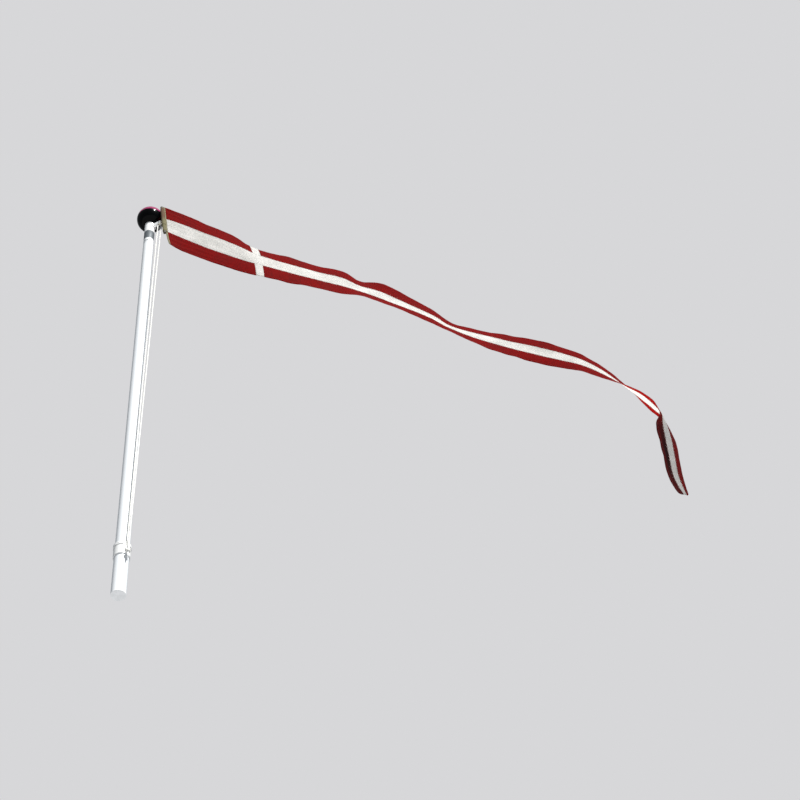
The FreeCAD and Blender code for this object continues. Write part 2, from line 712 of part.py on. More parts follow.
def cloth_point(section, across, face):
    """A point on the cloth: across runs from -1 at the lower edge to 1 at the upper."""
    gone, centre, chord, normal, width, belly, fold_low, fold_high = section
    stripe = min(max(across, -STRIPE_SHARE), STRIPE_SHARE)
    band = (across - stripe) * width / 2
    fold = math.radians(fold_low if across < 0 else fold_high)
    along = stripe * width / 2 + band * math.cos(fold)
    raised = belly * (1 - across**2) - abs(band) * math.sin(fold)
    point = centre + chord * along + normal * (raised + face * CLOTH / 2)
    if across < -STRIPE_SHARE:
        point = point + downwind(CORNER_CURL * max(0.0, 1 - gone / CURL_REACH) ** 2)
    return point


def between(sections, distance):
    """The cross-section at a distance from the hoist."""
    for before, after in zip(sections, sections[1:]):
        if after[0] >= distance - 1e-6:
            share = (distance - before[0]) / (after[0] - before[0])
            mixed = [a + (b - a) * share for a, b in zip(before, after)]
            mixed[2].normalize()
            mixed[3].normalize()
            return tuple(mixed)
    return sections[-1]


def panel(sections, start, end, low, high):
    """One cut piece of cloth, from start to end along the pennant and low to high across it."""
    inside = [s for s in sections if start + 1 < s[0] < end - 1]
    wires = []
    for section in [between(sections, start)] + inside + [between(sections, end)]:
        corners = [cloth_point(section, a, f) for a, f in ((low, -1), (high, -1), (high, 1), (low, 1))]
        wires.append(Part.makePolygon(corners + corners[:1]))
    return Part.makeLoft(wires, True, True)


def pennant_parts():
    sections = flight_stations()
    length = sections[-1][0]
    print("pennant length %.0f mm" % length)
    third = STRIPE_SHARE
    bar_end = BAR_START + BAR_WIDTH
    spans = ((-1, -third), (-third, third), (third, 1))
    strips = [panel(sections, TAPE_START, TAPE_END, low, high) for low, high in spans]
    save("hoist_tape", strips[0].fuse(strips[1:]))
    save("red_hoist_upper", panel(sections, TAPE_END, BAR_START, third, 1))
    save("red_hoist_lower", panel(sections, TAPE_END, BAR_START, -1, -third))
    save("white_bar_upper", panel(sections, BAR_START, bar_end, third, 1))
    save("white_bar_lower", panel(sections, BAR_START, bar_end, -1, -third))
    save("red_fly_upper", panel(sections, bar_end, length, third, 1))
    save("red_fly_lower", panel(sections, bar_end, length, -1, -third))
    save("white_stripe", panel(sections, TAPE_END, length, -third, third))


def stick_frame(shape):
    """Moves a piece made upright about the origin to the stick's place and tilt."""
    across = (heading(0, 1, 0) - heading(0, 0, 0)).normalize()
    return shape.rotated(ORIGIN, across, -STICK_TILT_DEG).translated(STICK_MID)


def stick_parts():
    half = STICK_LENGTH / 2
    wood_end = half - CAP_END
    inner = wood_end - CAP_LENGTH + 2 * CAP_END
    save("hoist_stick", stick_frame(disc(STICK_R, -wood_end, wood_end)))
    save("stick_sleeve", stick_frame(ring(SLEEVE_R, STICK_R, -SLEEVE_LENGTH / 2, SLEEVE_LENGTH / 2)))
    for name, side in (("stick_cap_upper", 1), ("stick_cap_lower", -1)):
        cap = disc(CAP_R, inner, half).cut(disc(STICK_R, inner - 1, wood_end))
        if side < 0:
            cap = cap.mirror(ORIGIN, UP)
        save(name, stick_frame(cap))


def towards_stick(shape, swing, way):
    """Moves a piece made along +X from the swivel to where the stick is."""
    turn = math.degrees(math.atan2(way.y, way.x))
    return shape.rotated(ORIGIN, UP, turn).translated(swing)


def shackle_parts():
    """The swivel shackle on the halyard, and the webbing loop that holds the stick in it."""
    low = SWIVEL_BOTTOM_Z + SHACKLE_FROM_SWIVEL_END
    high = SWIVEL_TOP_Z - SHACKLE_FROM_SWIVEL_END
    middle = (low + high) / 2
    swing = arm_point(SHEAVE_OUT + PITCH_R, 0)
    drop = (STICK_MID.z - middle) * math.tan(math.radians(STICK_TILT_DEG))
    way = STICK_MID + downwind(drop) - swing
    way.z = 0
    reach = way.Length
    loop_r = SLEEVE_R + LOOP
    pin_x = reach - loop_r - SHACKLE_R - PIN_FROM_LOOP
    jaw = SWIVEL_PIN_R + SHACKLE_BARREL
    barrel = ring(jaw, SWIVEL_PIN_R + RUNNING_GAP, low, high)
    bow = []
    for side in (-1, 1):
        z = middle + side * (LOOP_WIDTH / 2 + SHACKLE_R + SHACKLE_GAP)
        bow.append(block(jaw - 1, pin_x, -SHACKLE_R, SHACKLE_R, z - SHACKLE_R, z + SHACKLE_R))
        boss = disc(SHACKLE_R + SHACKLE_EYE, z - SHACKLE_R, z + SHACKLE_R)
        bow.append(boss.translated(Vector(pin_x, 0, 0)))
    body = barrel.fuse(bow)
    span = LOOP_WIDTH / 2 + 2 * SHACKLE_R + SHACKLE_GAP
    pin = disc(SHACKLE_R, middle - span - 1, middle + span + 1)
    lip_top = middle + span + SHACKLE_PIN_HEAD
    pin = pin.fuse(disc(SHACKLE_R + SHACKLE_PIN_LIP, middle + span, lip_top)).translated(Vector(pin_x, 0, 0))
    body = body.cut(pin)
    loop_low = middle - LOOP_WIDTH / 2
    loop_high = middle + LOOP_WIDTH / 2
    eye = ring(SHACKLE_R + EYE_WALL, SHACKLE_R + RUNNING_GAP, loop_low, loop_high)
    eye = towards_stick(eye.translated(Vector(pin_x, 0, 0)), swing, way)
    loop = ring(loop_r, SLEEVE_R, -SLEEVE_LENGTH / 2, SLEEVE_LENGTH / 2)
    far = STICK_LENGTH
    belt = block(-far, far, -far, far, loop_low, loop_high)
    loop = stick_frame(loop).common(belt).fuse(eye).cut(stick_frame(disc(SLEEVE_R, -far, far)))
    pin_hole = disc(SHACKLE_R + RUNNING_GAP, low, high).translated(Vector(pin_x, 0, 0))
    loop = loop.cut(towards_stick(pin_hole, swing, way))
    print("swivel to stick %.1f mm, swing axis at x %.2f y %.2f" % (reach, swing.x, swing.y))
    save("swivel_shackle", towards_stick(body, swing, way))
    save("shackle_pin", towards_stick(pin, swing, way))
    save("stick_loop", loop)


def main():
    os.makedirs("parts", exist_ok=True)
    pole_parts()
    head_parts()
    sheave_parts()
    halyard_parts()
    cleat_parts()
    collar_parts()
    pennant_parts()
    stick_parts()
    shackle_parts()


main()
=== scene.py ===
import json
import math
from collections import namedtuple

import bpy
from mathutils import Matrix, Vector, noise


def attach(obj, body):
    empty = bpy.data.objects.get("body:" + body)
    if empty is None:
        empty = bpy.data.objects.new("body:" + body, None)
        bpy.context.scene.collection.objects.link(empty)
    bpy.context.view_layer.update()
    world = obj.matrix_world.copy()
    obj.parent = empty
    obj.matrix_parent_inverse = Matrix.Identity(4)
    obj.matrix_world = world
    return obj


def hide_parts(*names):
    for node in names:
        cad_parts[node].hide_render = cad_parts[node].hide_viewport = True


# A cross pennant flying from the revolving head of a white flagpole. Everything is in metres, in the
# CAD model's frame: +Z is up the pole and the origin is the centre of the pole section's foot.

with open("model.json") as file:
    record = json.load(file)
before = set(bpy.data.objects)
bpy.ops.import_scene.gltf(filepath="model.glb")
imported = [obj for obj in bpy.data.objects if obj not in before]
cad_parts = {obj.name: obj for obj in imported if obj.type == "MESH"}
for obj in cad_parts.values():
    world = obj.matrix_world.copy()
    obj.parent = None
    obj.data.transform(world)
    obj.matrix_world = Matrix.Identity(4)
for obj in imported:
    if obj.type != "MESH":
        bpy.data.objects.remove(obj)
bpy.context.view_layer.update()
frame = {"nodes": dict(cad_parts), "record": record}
NODES = frame["nodes"]

# Camera: where it stands, how far it looks up and how far it is rolled
CAMERA_PLACE = Vector((1.319, -4.393, -4.741))
CAMERA_PITCH = math.radians(52.94)
CAMERA_ROLL = math.radians(-8.57)
CAMERA_LENS = 67.5
SENSOR_WIDTH = 36.0
CAMERA_REACH = 200.0

# Light
SKY_COLOUR = (0.680, 0.680, 0.694)
AMBIENT_COLOUR = (0.86, 0.93, 1.0)
AMBIENT = 0.30
SUN_AZIMUTH = -50.0
SUN_ELEVATION = 45.0
SUN_STRENGTH = 6.9
SUN_SOFTNESS = 4.0
SUN_COLOUR = (1.0, 0.985, 0.95)
FLOOR_Z = -6.3
FLOOR_SIZE = 60.0

# The pole and the head, as in the CAD model
ARM_DEG = -20.0
CLEAT_DEG = -45.0
SHEAVE_OUT = 0.068
SHEAVE_Z = 3.124
PITCH_R = 0.011
ROPE_R = 0.0035
SWIVEL_TOP_Z = 3.090
SWIVEL_BOTTOM_Z = 3.044
NECK_OUT = 0.04627
HITCH_TOP_Z = 0.274
FALL_APART = 0.004

# The pennant, as in the CAD model
HEADING = math.radians(22.0)
DOWNWIND = Vector((math.cos(HEADING), math.sin(HEADING), 0))
LEFTWARD = Vector((-math.sin(HEADING), math.cos(HEADING), 0))
STICK_MID = Vector((0.0898, -0.0408, 3.120))
STICK_TILT = math.radians(5.5)
STICK_R = 0.0065
SLEEVE_R = 0.010
SLEEVE_LENGTH = 0.256
HOIST = 0.410
TAIL = 0.100
TAPE_END = 0.020
BAR_START = 0.582
BAR_END = 0.632
CORNER_CURL = 0.012
CURL_REACH = 0.220
THIRD = 1.0 / 3.0
TINY = 1e-4

# Its line through the air, one row per station: downwind distance and height in millimetres, rake and
# lean of the cross-section in degrees, the belly of its middle in millimetres, and how far the lower
# and the upper band fold back from the stripe in degrees.
FLIGHT = [
    (4, 3072, -5.5, 0, 0, 0, 0),
    (125, 3021, -5.5, -7, 4, -4, 7),
    (300, 2941, -5, -8, 13, -9, 7),
    (455, 2874, -5, -6, 21, -10, 6),
    (570, 2828, -4, 3, 21, -5, 2),
    (760, 2814, 1, 6, 9, 0, 0),
    (930, 2788, 6, 8, 6, 0, 0),
    (1065, 2780, 10, 7, 3, 0, 0),
    (1175, 2745, 12, 15, 0, 0, 0),
    (1310, 2745, 16, 10, -20, 0, 0),
    (1470, 2655, 24, 14, -10, 0, 0),
    (1600, 2575, 28, 17, 0, 0, 0),
    (1700, 2500, 22, 21, 0, 0, 0),
    (1850, 2450, 20, 14, 2, 0, 0),
    (2005, 2420, 15, 5, 4, 0, 0),
    (2245, 2395, 13, -4, 4, 0, 0),
    (2375, 2380, 15, -3, 4, 0, 0),
    (2500, 2355, 23, 4, 4, 0, 0),
    (2630, 2285, 29, 14, 4, 0, 0),
    (2752, 2178, 26, 34, 0, -4, -10),
    (2820, 2108, 20, 54, 3, 8, -18),
    (2867, 2024, 19, 54, 12, 2, -15),
    (2880, 1930, 30, 40, 32, -14, -17),
    (2888, 1820, 69, 27, 26, -4, -8),
    (2890, 1695, 73, 16, 10, 0, 0),
    (2880, 1580, 66, 9, 5, 0, 0),
    (2860, 1415, 63, 5, 4, 0, 0),
    (2860, 1305, 63, 11, 4, 0, 0),
    (2870, 1230, 60, 22, 4, 0, 0),
]
MM = 1000
STEPS = 10
TIP_ROUNDING = 0.030
TIP_FLAT = 0.55

# Painted shade towards the tail's end, which hangs in shade: where it starts, how soon it is full, and how
# dark it is
PAINTED_SHADE_START = 3.20
PAINTED_SHADE_RISE = 0.16
PAINTED_SHADE = 0.40
PAINTED_SHADE_LOWER = 0.62
PAINTED_SHADE_CORE = 0.37

# Cloth: how thick it is, alone and at its hems and seams, and how far apart its mesh's points are.
# Its thickness steps up just outside and just inside a hem's or a seam's width.
CLOTH = 0.0008
HEM = 0.0019
HEM_WIDTH = 0.011
SEAM = 0.0016
SEAM_WIDTH = 0.007
SEAM_GAP = 0.0002
STEP_OUT = 0.0005
STEP_IN = 0.0002
COLUMN = 0.008
ROWS = 14

# Stitches, and where their rows run: how far in from an edge or a seam, and from which end to which
STITCH_PITCH = 0.0075
STITCH_LENGTH = 0.0050
STITCH_R = 0.0004
STITCH_PROUD = 0.0001
FIRST_STITCH = 0.2
HEM_ROW = 0.009
SEAM_ROW = 0.004
BAR_ROW = 0.003
ROW_START = 0.024
ROW_END = 0.045
TIP_REACH = 0.62

# The webbing tape that binds the hoist
TAPE = 0.0026
TAPE_LOW = 0.009
TAPE_HIGH = 0.022
TAPE_EDGE = 0.55
TAPE_ROW = 0.010
TAPE_REACH = 0.99
TAPE_ROWS = 82
TAPE_COLUMNS = 5

# The stick's canvas sleeve, with its sewn flap, and the loop round it
FLAP = 0.0012
FLAP_END = 0.0185
FLAP_ANGLE = 32.0
FLAP_SWELL = 0.0006
SNUG = 0.0001
SLEEVE_HEM = 0.0005
SLEEVE_HEM_WIDTH = 0.010
SLEEVE_ROWS = 75
SLEEVE_STEPS = 27
SLEEVE_STEP = 0.0028
SLEEVE_TOP_BROWNING = 0.8
SLEEVE_ROW_OUTS = (0.0132, 0.0160)
WEBBING = 0.0015
LOOP_WIDTH = 0.014
LOOP_Z = 3.067
LOOP_STEPS = 42
LOOP_STEP = 0.0022
SHACKLE_R = 0.002
PIN_FROM_SWING = 0.0090

# Rope: its flattened strands, and the turns at the cleat
STRAND_THICK = 0.0006
STRAND_WIDE = 0.0013
STRAND_LIFT = 0.0003
STRAND_STEP = 0.0026
BRAID_PITCH = 0.034
CORE_SIDES = 8
STRAND_SIDES = 6
HORN_OUT = 0.0549
HORN_R = 0.0045
HORN_TURNS = ((0.2375, 20), (0.2300, -16))
HORN_STEPS = 48


# Node materials

# A Mix node has its factor and colours for each data type, and these are the ones for colours
MIX_FACTOR = 0
MIX_FIRST = 6
MIX_SECOND = 7
MIX_RESULT = 2

# How much of its glow the cloth keeps where its painted shade is full
PAINTED_SHADE_GLOW = 0.01

# How much of the light that meets the bunting passes through it
BUNTING_LIGHT = 0.72


def node(tree, kind, inputs=None, **settings):
    """Adds a shader node, with its inputs linked or set."""
    made = tree.nodes.new("ShaderNode" + kind)
    for name, value in settings.items():
        setattr(made, name, value)
    for name, value in (inputs or {}).items():
        socket = made.inputs[name]
        if isinstance(value, bpy.types.NodeSocket):
            tree.links.new(value, socket)
        else:
            socket.default_value = value
    return made


def ramp(tree, factor, *stops):
    """A colour ramp through (position, colour) stops."""
    made = node(tree, "ValToRGB", {"Fac": factor})
    while len(made.color_ramp.elements) < len(stops):
        made.color_ramp.elements.new(0.5)
    for element, (position, colour) in zip(made.color_ramp.elements, stops):
        element.position = position
        element.color = (*colour, 1)
    return made.outputs["Color"]


def grey(value):
    return (value, value, value)


def shade(colour, factor):
    return tuple(min(1.0, channel * factor) for channel in colour)


def mix(tree, factor, first, second, blend="MIX"):
    """A mix of two colours, each of them a socket or an RGB tuple."""
    made = node(tree, "Mix", data_type="RGBA", blend_type=blend)
    for index, value in ((MIX_FACTOR, factor), (MIX_FIRST, first), (MIX_SECOND, second)):
        socket = made.inputs[index]
        if isinstance(value, bpy.types.NodeSocket):
            tree.links.new(value, socket)
        elif isinstance(value, tuple):
            socket.default_value = (*value, 1)
        else:
            socket.default_value = value
    return made.outputs[MIX_RESULT]


def maths(tree, operation, first, second=0.0, third=0.0):
    made = node(tree, "Math", operation=operation)
    for socket, value in zip(made.inputs, (first, second, third)):
        if isinstance(value, bpy.types.NodeSocket):
            tree.links.new(value, socket)
        else:
            socket.default_value = value
    return made.outputs[0]


def stretched(tree, vector, scale):
    return node(tree, "Mapping", {"Vector": vector, "Scale": scale}).outputs["Vector"]


def place(tree, scale=(1, 1, 1)):
    """The object's own coordinates, in metres, stretched by scale."""
    return stretched(tree, node(tree, "TexCoord").outputs["Object"], scale)


def speckle(tree, vector, scale, detail=4.0, roughness=0.5):
    inputs = {"Vector": vector, "Scale": scale, "Detail": detail, "Roughness": roughness}
    return node(tree, "TexNoise", inputs).outputs["Fac"]


def bump(tree, height, strength, distance, under=None):
    inputs = {"Height": height, "Strength": strength, "Distance": distance}
    if under is not None:
        inputs["Normal"] = under
    return node(tree, "Bump", inputs).outputs["Normal"]


def new_material(name, **constants):
    """A material with one Principled shader, whose constants are set on its own sockets."""
    material = bpy.data.materials.new(name)
    material.use_nodes = True
    tree = material.node_tree
    shader = tree.nodes["Principled BSDF"]
    for socket, value in constants.items():
        shader.inputs[socket.replace("_", " ")].default_value = value
    return material, tree, shader


def connect(tree, shader, **outputs):
    for socket, value in outputs.items():
        tree.links.new(value, shader.inputs[socket.replace("_", " ")])


def gelcoat():
    """The pole's glossy white gelcoat: faint cool clouding, rain streaks and fine scratches."""
    material, tree, shader = new_material("white_gelcoat", Coat_Weight=0.35, Coat_Roughness=0.08, IOR=1.5)
    streaks = speckle(tree, place(tree, (90, 90, 1.3)), 1.0, 6.0)
    clouds = speckle(tree, place(tree, (3, 3, 0.8)), 1.0, 3.0)
    fine = speckle(tree, place(tree), 420.0, 2.0)
    colour = ramp(tree, clouds, (0.3, (0.66, 0.69, 0.73)), (0.7, (0.71, 0.73, 0.75)))
    dirt = ramp(tree, streaks, (0.56, grey(1.0)), (0.72, (0.86, 0.87, 0.86)))
    colour = mix(tree, 0.55, colour, dirt, "MULTIPLY")
    rough = ramp(tree, streaks, (0.35, grey(0.22)), (0.75, grey(0.42)))
    normal = bump(tree, fine, 0.05, 0.0004)
    connect(tree, shader, Base_Color=colour, Roughness=rough, Normal=normal)
    return material


def moulded(name, colour, roughness=0.45, grain=900.0):
    """A moulded plastic: a fine grain and slight unevenness of colour."""
    material, tree, shader = new_material(name, IOR=1.48)
    clouds = speckle(tree, place(tree), 35.0, 4.0)
    fine = speckle(tree, place(tree), grain, 2.0)
    tone = ramp(tree, clouds, (0.3, shade(colour, 0.88)), (0.7, shade(colour, 1.04)))
    rough = ramp(tree, clouds, (0.3, grey(roughness - 0.07)), (0.7, grey(roughness + 0.1)))
    connect(tree, shader, Base_Color=tone, Roughness=rough, Normal=bump(tree, fine, 0.18, 0.0003))
    return material


def powder_coat(name, colour):
    """A powder-coated casting: orange peel, with chips and dirt where its edges wear."""
    material, tree, shader = new_material(name, Coat_Weight=0.15, Coat_Roughness=0.2)
    peel = speckle(tree, place(tree), 650.0, 2.0)
    clouds = speckle(tree, place(tree), 22.0, 5.0, 0.6)
    edges = node(tree, "NewGeometry").outputs["Pointiness"]
    tone = ramp(tree, clouds, (0.35, shade(colour, 0.90)), (0.65, shade(colour, 1.02)))
    wear_and_painted_shade = ramp(tree, edges, (0.52, grey(0.0)), (0.60, grey(0.3)))
    tone = mix(tree, wear_and_painted_shade, tone, (0.65, 0.66, 0.66))
    rough = ramp(tree, clouds, (0.3, grey(0.34)), (0.7, grey(0.5)))
    connect(tree, shader, Base_Color=tone, Roughness=rough, Normal=bump(tree, peel, 0.12, 0.0004))
    return material


def turned_metal(name, colour, roughness, stretch):
    """Metal with fine tool marks along the stretched axis, and smudges."""
    material, tree, shader = new_material(name, Metallic=1.0)
    marks = speckle(tree, place(tree, stretch), 1.0, 3.0)
    smudge = speckle(tree, place(tree), 45.0, 5.0)
    tone = ramp(tree, marks, (0.3, shade(colour, 0.82)), (0.7, shade(colour, 1.08)))
    tone = mix(tree, 0.35, tone, ramp(tree, smudge, (0.4, grey(1.0)), (0.7, grey(0.72))), "MULTIPLY")
    rough = ramp(tree, smudge, (0.3, grey(roughness)), (0.75, grey(roughness + 0.18)))
    connect(tree, shader, Base_Color=tone, Roughness=rough, Normal=bump(tree, marks, 0.15, 0.0002))
    return material


def anodised():
    """The bearing housing: satin grey with faint turned rings."""
    material, tree, shader = new_material("grey_housing", Metallic=0.2, Specular_IOR_Level=0.3)
    rings = speckle(tree, place(tree, (6, 6, 1500)), 1.0, 2.0)
    clouds = speckle(tree, place(tree), 30.0, 4.0)
    tone = ramp(tree, rings, (0.3, (0.078, 0.092, 0.105)), (0.7, (0.098, 0.112, 0.125)))
    tone = mix(tree, 0.4, tone, ramp(tree, clouds, (0.35, grey(1.0)), (0.75, grey(0.78))), "MULTIPLY")
    rough = ramp(tree, clouds, (0.3, grey(0.55)), (0.7, grey(0.68)))
    connect(tree, shader, Base_Color=tone, Roughness=rough, Normal=bump(tree, rings, 0.12, 0.0002))
    return material


def ball_lacquer(name, dark, light, coat, level):
    """Gloss lacquer on the ball's shells, with dust, fine scratches and slight mottling."""
    gloss = {"Coat_Weight": coat, "Coat_Roughness": 0.05, "Specular_IOR_Level": level}
    material, tree, shader = new_material(name, **gloss)
    clouds = speckle(tree, place(tree), 14.0, 5.0)
    dust = speckle(tree, place(tree), 260.0, 3.0)
    tone = ramp(tree, clouds, (0.3, dark), (0.75, light))
    rough = ramp(tree, dust, (0.4, grey(0.16)), (0.75, grey(0.36)))
    connect(tree, shader, Base_Color=tone, Roughness=rough, Normal=bump(tree, dust, 0.03, 0.0003))
    return material


def wood():
    """Ash: long growth lines along the stick, with fine pores."""
    material, tree, shader = new_material("stick_wood", Coat_Weight=0.1, Coat_Roughness=0.4)
    grain = speckle(tree, place(tree, (260, 260, 7)), 1.0, 5.0)
    pores = speckle(tree, place(tree, (1400, 1400, 60)), 1.0, 2.0)
    tone = ramp(tree, grain, (0.3, (0.30, 0.185, 0.09)), (0.7, (0.52, 0.36, 0.20)))
    tone = mix(tree, 0.5, tone, ramp(tree, pores, (0.3, grey(0.6)), (0.55, grey(1.0))), "MULTIPLY")
    rough = ramp(tree, grain, (0.3, grey(0.5)), (0.7, grey(0.66)))
    connect(tree, shader, Base_Color=tone, Roughness=rough, Normal=bump(tree, pores, 0.3, 0.0003))
    return material


def weave(tree, vector, pitch):
    """Over-and-under threads in two directions of a flat coordinate, as a height from 0 to 1."""
    parts = node(tree, "SeparateXYZ", {"Vector": vector})
    turn = 2 * math.pi / pitch
    warp = maths(tree, "SINE", maths(tree, "MULTIPLY", parts.outputs["X"], turn))
    weft = maths(tree, "SINE", maths(tree, "MULTIPLY", parts.outputs["Y"], turn))
    return maths(tree, "MULTIPLY_ADD", maths(tree, "MULTIPLY", warp, weft), 0.5, 0.5)


def cloth(name, colour, darkened_colour, through=(0, 0, 0), share=0.0, thread=0.0011):
    """Woven cloth, patterned by its own flat coordinates, and darkened by its shade attribute, which
    paints shade on the bunting's tail and browns the sleeve's top.

    A share of the light passes through it, in the colour of through.
    """
    finish = {"Sheen_Weight": 0.05, "Sheen_Roughness": 0.5, "Specular_IOR_Level": 0.08}
    material, tree, shader = new_material(name, **finish)
    flat = node(tree, "Attribute", attribute_name="flat").outputs["Vector"]
    threads = weave(tree, flat, thread)
    slubs = speckle(tree, stretched(tree, flat, (25, 900, 1)), 1.0, 2.0)
    clouds = speckle(tree, flat, 9.0, 5.0, 0.55)
    creases = speckle(tree, stretched(tree, flat, (18, 60, 1)), 1.0, 3.0)
    wear_and_painted_shade = node(tree, "Attribute", attribute_name="shade").outputs["Fac"]
    tone = ramp(tree, clouds, (0.3, shade(colour, 0.84)), (0.7, shade(colour, 1.12)))
    tone = mix(tree, 0.5, tone, ramp(tree, slubs, (0.3, grey(0.82)), (0.7, grey(1.0))), "MULTIPLY")
    tone = mix(tree, 0.35, tone, ramp(tree, threads, (0.2, grey(0.75)), (0.8, grey(1.0))), "MULTIPLY")
    # Painted shade: the shade attribute turns the colour towards the dark colour given for it.
    tone = mix(tree, wear_and_painted_shade, tone, darkened_colour)
    rough = ramp(tree, clouds, (0.3, grey(0.78)), (0.7, grey(0.94)))
    normal = bump(tree, creases, 0.25, 0.0015)
    normal = bump(tree, threads, 0.30, 0.0002, normal)
    connect(tree, shader, Base_Color=tone, Roughness=rough, Normal=normal)
    if share > 0:
        glow = mix(tree, 0.5, through, ramp(tree, clouds, (0.3, grey(0.85)), (0.7, grey(1.0))), "MULTIPLY")
        # Painted shade also dims the light that passes through the cloth.
        glow = mix(tree, wear_and_painted_shade, glow, shade(through, PAINTED_SHADE_GLOW))
        behind = node(tree, "BsdfTranslucent", {"Color": glow, "Normal": normal})
        mixed = node(tree, "MixShader", {0: share, 1: shader.outputs[0], 2: behind.outputs[0]})
        tree.links.new(mixed.outputs[0], tree.nodes["Material Output"].inputs["Surface"])
    return material


def rope_yarn():
    """The halyard's strands: fine filaments along a white braid, soiled by weather."""
    material, tree, shader = new_material("rope_white", Sheen_Weight=0.3, Specular_IOR_Level=0.3)
    fibre = speckle(tree, place(tree, (2200, 2200, 260)), 1.0, 2.0)
    soil = speckle(tree, place(tree), 30.0, 4.0)
    tone = ramp(tree, fibre, (0.25, (0.70, 0.70, 0.67)), (0.6, (0.93, 0.93, 0.91)))
    tone = mix(tree, 0.4, tone, ramp(tree, soil, (0.35, grey(1.0)), (0.8, (0.72, 0.72, 0.68))), "MULTIPLY")
    rough = ramp(tree, soil, (0.3, grey(0.62)), (0.7, grey(0.8)))
    connect(tree, shader, Base_Color=tone, Roughness=rough, Normal=bump(tree, fibre, 0.4, 0.0003))
    return material


def make_materials():
    """Every material, under the name of its slot in the frame's record."""
    # The ball's lower shell is near black and barely reflects, and its upper shell is crimson, so the ball
    # shows much darker below than on top.
    black = ((0.0008, 0.0008, 0.0011), (0.0016, 0.0016, 0.0021))
    crimson = ((0.22, 0.012, 0.07), (0.34, 0.03, 0.13))
    # The second colour of red and of white is the painted shade of the tail, and the second of khaki is
    # the browner colour of the sleeve's top. The third is the colour of the light that passes through.
    red = ((0.25, 0.007, 0.008), (0.012, 0.001, 0.002), (0.60, 0.075, 0.062))
    white = ((0.93, 0.94, 0.92), (0.20, 0.18, 0.19), (0.94, 0.92, 0.885))
    khaki = ((0.150, 0.138, 0.075), (0.085, 0.042, 0.026))
    return {
        "white_gelcoat": gelcoat(),
        "white_plug": moulded("white_plug", (0.80, 0.82, 0.84)),
        "grey_housing": anodised(),
        "white_casting": powder_coat("white_casting", (0.72, 0.73, 0.74)),
        "stainless": turned_metal("stainless", (0.60, 0.61, 0.62), 0.24, (900, 900, 12)),
        "bronze": turned_metal("bronze", (0.60, 0.42, 0.20), 0.36, (30, 30, 900)),
        "ball_black": ball_lacquer("ball_black", *black, coat=0.09, level=0.03),
        "ball_crimson": ball_lacquer("ball_crimson", *crimson, coat=0.3, level=0.5),
        "cream_nylon": moulded("cream_nylon", (0.88, 0.84, 0.70), 0.4),
        "rope_white": rope_yarn(),
        "thread_white": moulded("thread_white", (0.80, 0.79, 0.74), 0.6),
        "thread_red": moulded("thread_red", (0.20, 0.015, 0.014), 0.6),
        "band_liner": moulded("band_liner", (0.70, 0.71, 0.73), 0.5),
        "cloth_red": cloth("cloth_red", *red, share=BUNTING_LIGHT),
        "cloth_white": cloth("cloth_white", *white, share=BUNTING_LIGHT),
        "canvas_khaki": cloth("canvas_khaki", *khaki, thread=0.0018),
        "stick_wood": wood(),
        "cap_rubber": moulded("cap_rubber", (0.060, 0.052, 0.034), 0.62),
    }


MATERIALS = make_materials()


# Meshes


def add_piece(name, points, faces, slot, body, replaced=()):
    """Makes a mesh piece, gives it its material and lets it ride on its body."""
    mesh = bpy.data.meshes.new(name)
    mesh.from_pydata([tuple(p) for p in points], [], faces)
    mesh.validate()
    piece = bpy.data.objects.new(name, mesh)
    bpy.context.scene.collection.objects.link(piece)
    mesh.materials.append(MATERIALS[slot])
    for polygon in mesh.polygons:
        polygon.use_smooth = True
    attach(piece, body)
    if replaced:
        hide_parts(*replaced)
    return piece


def point_attribute(piece, name, kind, values):
    attribute = piece.data.attributes.new(name, kind, "POINT")
    if kind == "FLOAT_VECTOR":
        attribute.data.foreach_set("vector", [c for value in values for c in value])
    else:
        attribute.data.foreach_set("value", values)


def polar(radius, azimuth_deg, z):
    azimuth = math.radians(azimuth_deg)
    return Vector((radius * math.cos(azimuth), radius * math.sin(azimuth), z))


def on_cleat_side(out, across, z):
    """A point out from the pole's axis towards the cleat, and across from that line."""
    turn = math.radians(CLEAT_DEG)
    x = out * math.cos(turn) - across * math.sin(turn)
    y = out * math.sin(turn) + across * math.cos(turn)
    return Vector((x, y, z))


# The pennant's surface

# One cross-section of the pennant: how far along it is, its centre, the directions across the cloth
# and out of it, its width, its belly, and how far its two outer bands fold back
Station = namedtuple("Station", "gone centre chord normal width belly fold_low fold_high")


def smooth_step(values, index, t):
    """A Catmull-Rom step through one column of the flight table."""
    a = values[max(index - 1, 0)]
    b = values[index]
    c = values[index + 1]
    d = values[min(index + 2, len(values) - 1)]
    square = 2 * a - 5 * b + 4 * c - d
    cube = 3 * b - a - 3 * c + d
    return 0.5 * (2 * b + (c - a) * t + square * t * t + cube * t**3)


def flight_rows():
    """The flight table with smooth steps between its rows."""
    columns = list(zip(*FLIGHT))
    rows = []
    for index in range(len(FLIGHT) - 1):
        for step in range(STEPS):
            rows.append([smooth_step(column, index, step / STEPS) for column in columns])
    rows.append(list(FLIGHT[-1]))
    return rows


def chord_direction(rake, lean):
    level = math.sin(rake) * math.cos(lean)
    return DOWNWIND * level + LEFTWARD * math.sin(lean) + Vector((0, 0, math.cos(rake) * math.cos(lean)))


